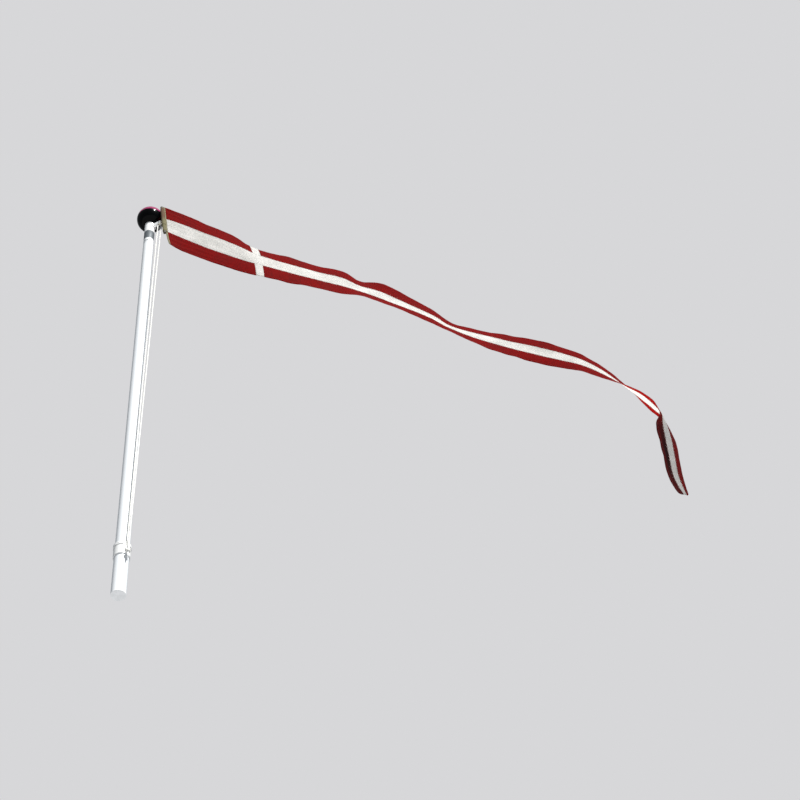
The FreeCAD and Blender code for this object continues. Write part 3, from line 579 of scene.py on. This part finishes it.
def flight_stations():
    rows = flight_rows()
    start = Vector((STICK_MID.x, STICK_MID.y, 0))
    centres = [start + DOWNWIND * (row[0] / MM) + Vector((0, 0, row[1] / MM)) for row in rows]
    gone = [0.0]
    for before, after in zip(centres, centres[1:]):
        gone.append(gone[-1] + (after - before).length)
    stations = []
    for i, (_, _, rake, lean, belly, fold_low, fold_high) in enumerate(rows):
        tangent = (centres[min(i + 1, len(rows) - 1)] - centres[max(i - 1, 0)]).normalized()
        chord = chord_direction(math.radians(rake), math.radians(lean))
        normal = tangent.cross(chord).normalized()
        width = HOIST + (TAIL - HOIST) * gone[i] / gone[-1]
        folds = (math.radians(fold_low), math.radians(fold_high))
        stations.append(Station(gone[i], centres[i], chord, normal, width, belly / MM, *folds))
    return stations


STATIONS = flight_stations()
LENGTH = STATIONS[-1].gone


def station_at(distance):
    """The cross-section at any distance, between the two stations beside it."""
    low, high = 0, len(STATIONS) - 1
    while high - low > 1:
        middle = (low + high) // 2
        if STATIONS[middle].gone <= distance:
            low = middle
        else:
            high = middle
    before, after = STATIONS[low], STATIONS[high]
    share = (distance - before.gone) / (after.gone - before.gone)
    share = max(0.0, min(1.0, share))
    return Station(*[a + (b - a) * share for a, b in zip(before, after)])


def ripple(distance, across, height, along_rate, across_rate, layer):
    return height * noise.noise(Vector((distance * along_rate, across * across_rate, layer)))


def flutter(distance, across):
    """Small ripples of the cloth, larger at its free edges, and the pull lines from the stick's ends."""
    wide = ripple(distance, across, 0.0035, 5.5, 0.9, 0.0)
    edge = ripple(distance, across, 0.0045, 12.0, 1.5, 7.0) * abs(across) ** 3
    small = ripple(distance, across, 0.0008, 34.0, 6.0, 3.0)
    from_corner = math.exp(-distance / 0.35) * (0.3 + abs(across))
    pull = 0.0018 * from_corner * math.sin(26 * across * (1 + distance) + 9 * distance)
    free = min(1.0, distance / 0.25)
    return free * (wide + edge) + small * min(1.0, distance / 0.05) + pull * min(1.0, distance / 0.06)


def cloth_point(distance, across, lift=0.0):
    """A point on the cloth: across runs from -1 at the lower edge to 1 at the upper."""
    at = station_at(distance)
    stripe = min(max(across, -THIRD), THIRD)
    band = (across - stripe) * at.width / 2
    fold = at.fold_low if across < 0 else at.fold_high
    along = stripe * at.width / 2 + band * math.cos(fold)
    raised = at.belly * (1 - across**2) - abs(band) * math.sin(fold) + flutter(distance, across) + lift
    point = at.centre + at.chord * along + at.normal * raised
    low = max(0.0, (-across - THIRD) / (1 - THIRD))
    return point + DOWNWIND * (CORNER_CURL * max(0.0, 1 - at.gone / CURL_REACH) ** 2 * low**2)


def half_width(distance):
    return station_at(distance).width / 2


def tip_limit(distance):
    """How far across the cloth goes, less than 1 only where the tail's corners are rounded."""
    left = (LENGTH - distance) / TIP_ROUNDING
    if left >= 1:
        return 1.0
    return TIP_FLAT + (1 - TIP_FLAT) * math.sqrt(max(0.0, 1 - (1 - left) ** 2))


def cloth_thickness(distance, across, seams):
    """Thicker along the hems and the felled seams."""
    half = half_width(distance)
    from_edge = (1 - abs(across)) * half
    thick = CLOTH
    if from_edge < HEM_WIDTH or LENGTH - distance < HEM_WIDTH:
        thick = HEM
    at_bar = min(abs(distance - BAR_START), abs(distance - BAR_END))
    if abs(across) > THIRD and at_bar < SEAM_WIDTH:
        thick = max(thick, SEAM)
    for seam in seams:
        if abs(across - seam) * half < SEAM_WIDTH:
            thick = SEAM
    return thick


def across_steps(distance, low, high, seams):
    """Places across a panel, close together where the hems and seams step up."""
    half = half_width(distance)
    steps = [low + (high - low) * i / ROWS for i in range(ROWS + 1)]
    marks = []
    for edge, width in [(s, SEAM_WIDTH) for s in seams] + [(-1.0, HEM_WIDTH), (1.0, HEM_WIDTH)]:
        for offset in (-width - STEP_OUT, -width + STEP_IN, width - STEP_IN, width + STEP_OUT):
            marks.append(edge + offset / half)
    return sorted(steps + [m for m in marks if low + TINY < m < high - TINY])


def panel(name, start, end, low, high, slot, node_name, flat, area):
    """One cut piece of cloth as a thin closed sheet, thicker at its hem and seams."""
    columns = max(2, round((end - start) / COLUMN))
    seams = [edge for edge in (low, high) if abs(edge) < 1]
    points, flats, shades = [], [], []
    for i in range(columns + 1):
        distance = start + (end - start) * i / columns
        limit = tip_limit(distance)
        for across in across_steps(distance, low, high, seams):
            across = max(-limit, min(limit, across))
            thick = cloth_thickness(distance, across, seams)
            for side in (1, -1):
                points.append(cloth_point(distance, across, side * thick / 2))
                flats.append((distance, across * half_width(distance), 0.0))
                # The tail's painted shade, on each point
                shades.append(tail_shade(distance, across))
    closed_sheet(name, points, flats, shades, columns + 1, slot, node_name)


def bell(value, middle, width):
    return math.exp(-(((value - middle) / width) ** 2))


def tail_shade(distance, across):
    """How much painted shade darkens the cloth towards the tail's end, from 0 to 1. The tail's lower band
    has the deepest painted shade, darkest in a patch within it.
    """
    far = max(0.0, min(1.0, (distance - PAINTED_SHADE_START) / PAINTED_SHADE_RISE))
    if across < -THIRD:
        return far * (PAINTED_SHADE_LOWER + PAINTED_SHADE_CORE * bell(across, -0.55, 0.22) * bell(distance, 3.60, 0.24))
    return far * PAINTED_SHADE


def closed_sheet(name, points, flats, shades, columns, slot, node_name):
    rows = len(points) // (2 * columns)

    def index(i, j, side):
        return 2 * (i * rows + j) + side

    faces = []
    for i in range(columns - 1):
        for j in range(rows - 1):
            faces.append((index(i, j, 0), index(i + 1, j, 0), index(i + 1, j + 1, 0), index(i, j + 1, 0)))
            faces.append((index(i, j, 1), index(i, j + 1, 1), index(i + 1, j + 1, 1), index(i + 1, j, 1)))
    for i in range(columns - 1):
        faces.append((index(i, 0, 0), index(i, 0, 1), index(i + 1, 0, 1), index(i + 1, 0, 0)))
        last = rows - 1
        faces.append((index(i, last, 0), index(i + 1, last, 0), index(i + 1, last, 1), index(i, last, 1)))
    for j in range(rows - 1):
        faces.append((index(0, j, 0), index(0, j + 1, 0), index(0, j + 1, 1), index(0, j, 1)))
        last = columns - 1
        faces.append((index(last, j, 0), index(last, j, 1), index(last, j + 1, 1), index(last, j + 1, 0)))
    piece = add_piece(name, points, faces, slot, "pennant", [node_name])
    point_attribute(piece, "flat", "FLOAT_VECTOR", flats)
    point_attribute(piece, "shade", "FLOAT", shades)


def band_area(start, end, share):
    """The flat area of a tapered band that is a share of the pennant's width."""
    return (end - start) * share * (half_width(start) + half_width(end))


def make_panels():
    """The seven pieces of bunting, a hair apart at their seams."""
    bands = [
        ("red_hoist_upper", TAPE_END, BAR_START, THIRD, 1, "cloth_red"),
        ("red_hoist_lower", TAPE_END, BAR_START, -1, -THIRD, "cloth_red"),
        ("white_bar_upper", BAR_START, BAR_END, THIRD, 1, "cloth_white"),
        ("white_bar_lower", BAR_START, BAR_END, -1, -THIRD, "cloth_white"),
        ("red_fly_upper", BAR_END, LENGTH, THIRD, 1, "cloth_red"),
        ("red_fly_lower", BAR_END, LENGTH, -1, -THIRD, "cloth_red"),
        ("white_stripe", TAPE_END, LENGTH, -THIRD, THIRD, "cloth_white"),
    ]
    for node_name, start, end, low, high, slot in bands:
        share = (high - low) / 2
        size = (2 * share * half_width(start), end - start)
        area = min(band_area(start, end, share), size[0] * size[1])
        ends = (start + SEAM_GAP, end - SEAM_GAP)
        panel("cloth_" + node_name, *ends, low, high, slot, node_name, size, area)


# Stitching


def spindle(points, faces, start, end, radius, out):
    """One stitch: a thread that comes out of the cloth, runs along it and goes back in."""
    first = len(points)
    middle = (start + end) / 2
    side = out.cross(end - start).normalized() * radius
    points += [start, middle + side, middle + out * radius, middle - side, middle - out * radius, end]
    for a, b in ((1, 2), (2, 3), (3, 4), (4, 1)):
        faces.append((first, first + b, first + a))
        faces.append((first + 5, first + a, first + b))


def stitch_row(points, faces, start, end, across_at, thick):
    """Stitches on both faces, along the pennant, where across_at gives their place for a distance."""
    count = round((end - start) / STITCH_PITCH)
    for i in range(count):
        distance = start + (i + FIRST_STITCH) * (end - start) / count
        ahead = distance + STITCH_LENGTH
        for side in (1, -1):
            lift = side * (thick / 2 + STITCH_PROUD)
            a = cloth_point(distance, across_at(distance), lift)
            b = cloth_point(ahead, across_at(ahead), lift)
            spindle(points, faces, a, b, STITCH_R, station_at(distance).normal.normalized() * side)


def cross_row(points, faces, distance, low, high, thick):
    """Stitches on both faces, across the pennant."""
    count = round((high - low) * half_width(distance) / STITCH_PITCH)
    step = (high - low) / count
    share = STITCH_LENGTH / STITCH_PITCH
    for i in range(count):
        across = low + (i + FIRST_STITCH) * step
        for side in (1, -1):
            lift = side * (thick / 2 + STITCH_PROUD)
            a = cloth_point(distance, across, lift)
            b = cloth_point(distance, across + step * share, lift)
            spindle(points, faces, a, b, STITCH_R, station_at(distance).normal.normalized() * side)


def along_hem(side):
    """A line inside the pennant's upper (1) or lower (-1) edge, as a function of the distance."""
    return lambda distance: side * (1 - HEM_ROW / half_width(distance))


def along_seam(side, offset):
    """A line beside the stripe's upper (1) or lower (-1) seam, as a function of the distance."""
    return lambda distance: side * THIRD + offset / half_width(distance)


def make_stitching():
    """Red thread along the hems, and white along the seams, the bar, the tail's end and the tape."""
    end = LENGTH - ROW_END
    points, faces = [], []
    for side in (1, -1):
        stitch_row(points, faces, ROW_START, end, along_hem(side), HEM)
    add_piece("hem_stitches", points, faces, "thread_red", "pennant")
    points, faces = [], []
    for side in (1, -1):
        for offset in (-SEAM_ROW, SEAM_ROW):
            stitch_row(points, faces, ROW_START, end, along_seam(side, offset), SEAM)
    for low, high in ((-1, -THIRD), (THIRD, 1)):
        for distance in (BAR_START + BAR_ROW, BAR_END - BAR_ROW):
            cross_row(points, faces, distance, low, high, SEAM)
    cross_row(points, faces, LENGTH - HEM_ROW, -TIP_REACH, TIP_REACH, HEM)
    cross_row(points, faces, TAPE_LOW + TAPE_ROW, -TAPE_REACH, TAPE_REACH, TAPE)
    add_piece("seam_stitches", points, faces, "thread_white", "pennant")


# The hoist: tape, sleeve and the loop that holds the stick


def make_tape():
    """The webbing that binds the pennant's hoist edge."""
    points, flats, shades = [], [], []
    last = TAPE_COLUMNS - 1
    for i in range(TAPE_COLUMNS):
        distance = TAPE_LOW + (TAPE_HIGH - TAPE_LOW) * i / last
        thick = TAPE if 0 < i < last else TAPE * TAPE_EDGE
        for j in range(TAPE_ROWS):
            across = -1 + 2 * j / (TAPE_ROWS - 1)
            for side in (1, -1):
                points.append(cloth_point(distance, across, side * thick / 2))
                flats.append((distance, across * HOIST / 2, 0.0))
                shades.append(0.0)
    closed_sheet("hoist_webbing", points, flats, shades, TAPE_COLUMNS, "canvas_khaki", "hoist_tape")


def stick_point(out, side, along):
    """A point beside the stick: downwind of its axis, sideways, and along it from its middle."""
    lean = math.sin(STICK_TILT)
    up = math.cos(STICK_TILT)
    axis = Vector((0, 0, 1)) * up - DOWNWIND * lean
    across = DOWNWIND * up + Vector((0, 0, 1)) * lean
    return STICK_MID + across * out + LEFTWARD * side + axis * along


def sleeve_outline(steps):
    """The sleeve's section: round the stick, drawn together into a sewn flap on the downwind side."""
    shape = []
    for i in range(steps):
        angle = math.radians(FLAP_ANGLE + (360 - 2 * FLAP_ANGLE) * i / (steps - 1))
        shape.append((SLEEVE_R * math.cos(angle), SLEEVE_R * math.sin(angle)))
    lower = [(0.6 * FLAP_END + 0.4 * shape[-1][0], -FLAP - FLAP_SWELL), (FLAP_END, -FLAP)]
    upper = [(x, -y) for x, y in reversed(lower)]
    return upper + shape + lower


def canvas_ripple(x, y, along, index):
    """The sleeve's unevenness, with gathers that die out away from its ends."""
    to_end = SLEEVE_LENGTH / 2 - abs(along)
    uneven = 0.0004 * noise.noise(Vector((x * 180, y * 180, along * 30)))
    uneven += 0.0003 * math.sin(index * 1.9) * math.exp(-to_end / 0.02)
    return uneven + (SLEEVE_HEM if to_end < SLEEVE_HEM_WIDTH else 0.0)


def make_sleeve():
    """The canvas sleeve round the stick, a little gathered at its ends and browner in its upper half."""
    outline = sleeve_outline(SLEEVE_STEPS)
    around = len(outline)
    inner = STICK_R + SNUG
    points, flats, shades, faces = [], [], [], []
    for i in range(SLEEVE_ROWS):
        along = SLEEVE_LENGTH * (i / (SLEEVE_ROWS - 1) - 0.5)
        # Darker and browner towards the top, through the shade attribute
        shades += [SLEEVE_TOP_BROWNING * max(0.0, min(1.0, (along + 0.01) / 0.04))] * (2 * around)
        for j, (x, y) in enumerate(outline):
            grow = 1 + canvas_ripple(x, y, along, j) / SLEEVE_R
            points.append(stick_point(x * grow, y * grow, along))
            flats.append((j * SLEEVE_STEP, along, 0.0))
        for x, y in outline:
            reach = math.hypot(x, y)
            points.append(stick_point(x / reach * inner, y / reach * inner, along))
            flats.append((0.0, along, 0.0))
    for i in range(SLEEVE_ROWS - 1):
        a, b = i * 2 * around, (i + 1) * 2 * around
        for j in range(around):
            k = (j + 1) % around
            faces.append((a + j, a + k, b + k, b + j))
            faces.append((a + around + j, b + around + j, b + around + k, a + around + k))
    last = (SLEEVE_ROWS - 1) * 2 * around
    for j in range(around):
        k = (j + 1) % around
        faces.append((j, around + j, around + k, k))
        faces.append((last + j, last + k, last + around + k, last + around + j))
    piece = add_piece("canvas_sleeve", points, faces, "canvas_khaki", "pennant", ["stick_sleeve"])
    point_attribute(piece, "flat", "FLOAT_VECTOR", flats)
    point_attribute(piece, "shade", "FLOAT", shades)


def make_sleeve_stitches():
    """Two rows through the sleeve's flap."""
    points, faces = [], []
    count = round(SLEEVE_LENGTH / STITCH_PITCH)
    for out in SLEEVE_ROW_OUTS:
        for i in range(count):
            along = SLEEVE_LENGTH * ((i + FIRST_STITCH) / count - 0.5)
            for side in (1, -1):
                lift = side * (FLAP + FLAP_SWELL)
                a = stick_point(out, lift, along)
                b = stick_point(out, lift, along + STITCH_LENGTH)
                spindle(points, faces, a, b, STITCH_R, LEFTWARD * side)
    add_piece("sleeve_stitches", points, faces, "thread_white", "pennant")


def hull_of_circles(first, first_r, second, second_r, steps):
    """The outline of a belt drawn round two circles, the first one the larger."""
    way = second - first
    distance = way.length
    heading = math.atan2(way.y, way.x)
    open_angle = math.acos((first_r - second_r) / distance)
    outline = []
    for i in range(steps):
        angle = heading + open_angle + (2 * math.pi - 2 * open_angle) * i / (steps - 1)
        outline.append(first + Vector((math.cos(angle), math.sin(angle), 0)) * first_r)
    half = steps // 3
    for i in range(half):
        angle = heading - open_angle + 2 * open_angle * i / (half - 1)
        outline.append(second + Vector((math.cos(angle), math.sin(angle), 0)) * second_r)
    return outline


def make_loop():
    """The webbing loop round the sleeve and the shackle's pin, with rounded edges."""
    along = (LOOP_Z - STICK_MID.z) / math.cos(STICK_TILT)
    stick = stick_point(0, 0, along)
    stick.z = LOOP_Z
    swing = polar(SHEAVE_OUT + PITCH_R, ARM_DEG, LOOP_Z)
    pin = swing + (stick - swing).normalized() * PIN_FROM_SWING
    inner = hull_of_circles(stick, SLEEVE_R + SNUG, pin, SHACKLE_R, LOOP_STEPS)
    outer = hull_of_circles(stick, SLEEVE_R + WEBBING, pin, SHACKLE_R + WEBBING, LOOP_STEPS)
    across = ((-1.0, 0.45), (-0.86, 1.0), (0.86, 1.0), (1.0, 0.45))
    lean = DOWNWIND * -math.tan(STICK_TILT)
    points, flats = [], []
    count = len(inner)
    for j in range(count):
        middle = (inner[j] + outer[j]) / 2
        half = (outer[j] - inner[j]) / 2
        for side in (1, -1):
            order = across if side > 0 else across[::-1]
            for z, thick in order:
                drop = z * LOOP_WIDTH / 2
                points.append(middle + half * (side * thick) + Vector((0, 0, drop)) + lean * drop)
                flats.append((j * LOOP_STEP, drop, 0.0))
    ring = 2 * len(across)
    faces = []
    for j in range(count):
        k = (j + 1) % count
        for i in range(ring):
            n = (i + 1) % ring
            faces.append((j * ring + i, k * ring + i, k * ring + n, j * ring + n))
    piece = add_piece("webbing_loop", points, faces, "canvas_khaki", "pennant", ["stick_loop"])
    point_attribute(piece, "flat", "FLOAT_VECTOR", flats)
    point_attribute(piece, "shade", "FLOAT", [0.0] * len(points))


# Halyard


def route_line(points):
    """The points of the smooth line that a rope follows between its route's points."""
    data = bpy.data.curves.new("route", "CURVE")
    data.dimensions = "3D"
    data.resolution_u = 48
    spline = data.splines.new("NURBS")
    spline.points.add(len(points) - 1)
    for target, point in zip(spline.points, points):
        target.co = (*point, 1)
    spline.order_u = 3
    spline.use_endpoint_u = True
    holder = bpy.data.objects.new("route", data)
    bpy.context.scene.collection.objects.link(holder)
    bpy.context.view_layer.update()
    mesh = bpy.data.meshes.new_from_object(holder)
    line = [v.co.copy() for v in mesh.vertices]
    bpy.data.objects.remove(holder)
    bpy.data.curves.remove(data)
    bpy.data.meshes.remove(mesh)
    return line


def even_frames(line, step):
    """Points and frames at equal steps along a line, with as little turning as possible."""
    gone = [0.0]
    for a, b in zip(line, line[1:]):
        gone.append(gone[-1] + (b - a).length)
    count = max(2, round(gone[-1] / step))
    frames = []
    index = 0
    for i in range(count + 1):
        distance = gone[-1] * i / count
        while index < len(gone) - 2 and gone[index + 1] < distance:
            index += 1
        a, b = line[index], line[index + 1]
        share = (distance - gone[index]) / max(1e-9, gone[index + 1] - gone[index])
        frames.append([distance, a.lerp(b, share), (b - a).normalized()])
    side = frames[0][2].orthogonal().normalized()
    out = []
    for distance, point, along in frames:
        side = (side - along * side.dot(along)).normalized()
        out.append((distance, point, side, along.cross(side)))
    return out


def tube(points, faces, centres, frames, first_r, second_r, sides, closed=False):
    """A closed round or flattened tube through centres, with its radius in each of two directions."""
    first = len(points)
    for centre, (u, v) in zip(centres, frames):
        for k in range(sides):
            angle = 2 * math.pi * k / sides
            points.append(centre + u * (math.cos(angle) * first_r) + v * (math.sin(angle) * second_r))
    rings = len(centres)
    spans = rings if closed else rings - 1
    for i in range(spans):
        a = first + i * sides
        b = first + (i + 1) % rings * sides
        for k in range(sides):
            n = (k + 1) % sides
            faces.append((a + k, a + n, b + n, b + k))
    if not closed:
        faces.append(tuple(first + k for k in reversed(range(sides))))
        faces.append(tuple(first + (rings - 1) * sides + k for k in range(sides)))


def braid(name, line, body, replaced=(), closed=False):
    """An eight-plait rope along a line: four strands each way over a core."""
    frames = even_frames(line, STRAND_STEP)
    if closed:
        frames = frames[:-1]
    total = frames[-1][0] + (STRAND_STEP if closed else 0)
    turns = max(1, round(total / BRAID_PITCH))
    rate = 2 * math.pi * turns / total
    points, faces = [], []
    middle = ROPE_R - STRAND_THICK - STRAND_LIFT
    core = middle - STRAND_THICK / 2
    tube(points, faces, [f[1] for f in frames], [f[2:] for f in frames], core, core, CORE_SIDES, closed)
    for hand in (1, -1):
        for k in range(4):
            centres = []
            sides = []
            for distance, point, u, v in frames:
                angle = hand * rate * distance + k * math.pi / 2
                outward = u * math.cos(angle) + v * math.sin(angle)
                sideways = v * math.cos(angle) - u * math.sin(angle)
                reach = middle + hand * STRAND_LIFT * math.cos(4 * rate * distance)
                centres.append(point + outward * reach)
                sides.append((outward, sideways))
            tube(points, faces, centres, sides, STRAND_THICK, STRAND_WIDE, STRAND_SIDES, closed)
    return add_piece(name, points, faces, "rope_white", body, replaced)


def horn_ring(z, tilt):
    """A turn of the rope round the cleat's lower horn."""
    reach = HORN_R + ROPE_R
    rise = reach * math.tan(math.radians(tilt))
    ring = []
    for i in range(HORN_STEPS + 1):
        angle = 2 * math.pi * i / HORN_STEPS
        out = HORN_OUT + reach * math.cos(angle)
        ring.append(on_cleat_side(out, reach * math.sin(angle), z + rise * math.sin(angle)))
    return ring


def cleat_route():
    """The rope's turn under the cleat, from the hoisting side to the downhaul."""
    route = (
        (-FALL_APART, HITCH_TOP_Z),
        (-0.0072, 0.267),
        (-0.0074, 0.252),
        (-0.0050, 0.2435),
        (0.0050, 0.2435),
        (0.0074, 0.252),
        (0.0072, 0.267),
        (FALL_APART, HITCH_TOP_Z),
    )
    return [on_cleat_side(NECK_OUT, across, z) for across, z in route]


def make_turns():
    """The halyard's turn under the cleat and its two turns round the horn."""
    turns = [braid("cleat_turn", route_line(cleat_route()), "rotor", ["halyard_hitch"])]
    for index, (z, tilt) in enumerate(HORN_TURNS):
        turns.append(braid(f"horn_turn_{index + 1}", horn_ring(z, tilt), "rotor", closed=True))
    return turns


def make_halyard():
    """The hoisting side over the sheave, the downhaul, and the turns at the cleat."""
    start = on_cleat_side(NECK_OUT, -FALL_APART, HITCH_TOP_Z)
    up = polar(SHEAVE_OUT - PITCH_R, ARM_DEG, SHEAVE_Z + PITCH_R)
    over = polar(SHEAVE_OUT + PITCH_R, ARM_DEG, SHEAVE_Z + PITCH_R)
    swivel = polar(SHEAVE_OUT + PITCH_R, ARM_DEG, SWIVEL_TOP_Z)
    under = polar(SHEAVE_OUT + PITCH_R, ARM_DEG, SWIVEL_BOTTOM_Z)
    end = on_cleat_side(NECK_OUT, FALL_APART, HITCH_TOP_Z)
    short = 12 * ROPE_R
    below_sheave = up + (start - up).normalized() * short
    below_swivel = under + (end - under).normalized() * short
    turns = make_turns()
    line = route_line([start, below_sheave, up, over, swivel])
    rope = braid("hoist_line", line, "rotor", ["halyard_hoist_line"])
    line = route_line([end, below_swivel, under])
    rope = braid("downhaul", line, "rotor", ["halyard_downhaul"])


make_panels()
make_stitching()
make_tape()
make_sleeve()
make_sleeve_stitches()
make_loop()
make_halyard()


# Camera, world and light


def make_camera():
    """The camera looks along +Y before it is pitched up and rolled."""
    data = bpy.data.cameras.new("camera")
    data.lens = CAMERA_LENS
    data.sensor_width = SENSOR_WIDTH
    data.clip_end = CAMERA_REACH
    camera = bpy.data.objects.new("camera", data)
    bpy.context.scene.collection.objects.link(camera)
    forward = Vector((0, math.cos(CAMERA_PITCH), math.sin(CAMERA_PITCH)))
    level_up = Vector((0, -math.sin(CAMERA_PITCH), math.cos(CAMERA_PITCH)))
    east = Vector((1, 0, 0))
    right = math.cos(CAMERA_ROLL) * east + math.sin(CAMERA_ROLL) * level_up
    up = math.cos(CAMERA_ROLL) * level_up - math.sin(CAMERA_ROLL) * east
    turn = Matrix((right, up, -forward)).transposed().to_4x4()
    camera.matrix_world = Matrix.Translation(CAMERA_PLACE) @ turn
    bpy.context.scene.camera = camera


def make_world():
    """A plain pale surround that lights the object with a dimmer and cooler colour than it shows."""
    world = bpy.data.worlds.new("surround")
    bpy.context.scene.world = world
    world.use_nodes = True
    tree = world.node_tree
    tree.nodes.clear()
    seen = node(tree, "Background", {"Color": (*SKY_COLOUR, 1), "Strength": 1.0})
    light = node(tree, "Background", {"Color": (*AMBIENT_COLOUR, 1), "Strength": AMBIENT})
    path = node(tree, "LightPath")
    shaders = {0: path.outputs["Is Camera Ray"], 1: light.outputs[0], 2: seen.outputs[0]}
    mixed = node(tree, "MixShader", shaders)
    output = node(tree, "OutputWorld")
    tree.links.new(mixed.outputs[0], output.inputs["Surface"])


def make_sun():
    """One soft key light from the camera's side."""
    data = bpy.data.lights.new("key", "SUN")
    data.energy = SUN_STRENGTH
    data.angle = math.radians(SUN_SOFTNESS)
    data.color = SUN_COLOUR
    sun = bpy.data.objects.new("key", data)
    bpy.context.scene.collection.objects.link(sun)
    elevation = math.radians(SUN_ELEVATION)
    towards = polar(math.cos(elevation), SUN_AZIMUTH, math.sin(elevation))
    sun.rotation_mode = "QUATERNION"
    sun.rotation_quaternion = towards.to_track_quat("Z", "Y")


def make_floor():
    """A pale floor below the camera, which looks up at the pole's top."""
    half = FLOOR_SIZE / 2
    mesh = bpy.data.meshes.new("floor")
    corners = [(-half, -half), (half, -half), (half, half), (-half, half)]
    mesh.from_pydata([(x, y, FLOOR_Z) for x, y in corners], [], [(0, 1, 2, 3)])
    floor = bpy.data.objects.new("floor", mesh)
    bpy.context.scene.collection.objects.link(floor)
    material, tree, shader = new_material("pale_floor")
    clouds = speckle(tree, place(tree), 0.6, 4.0)
    tone = ramp(tree, clouds, (0.3, (0.44, 0.44, 0.45)), (0.7, (0.47, 0.47, 0.48)))
    rough = ramp(tree, clouds, (0.3, grey(0.85)), (0.7, grey(0.95)))
    connect(tree, shader, Base_Color=tone, Roughness=rough)
    mesh.materials.append(material)


make_camera()
make_world()
make_sun()
make_floor()
bpy.context.scene.view_settings.view_transform = "Standard"


def dress_nodes():
    """Gives every CAD node the material of its slot. Those that a piece replaces don't show."""
    slot_of = {row["node"]: row["material_slot"] for row in frame["record"]["subparts"]}
    for name, obj in NODES.items():
        obj.data.materials.clear()
        obj.data.materials.append(MATERIALS[slot_of[name]])


dress_nodes()
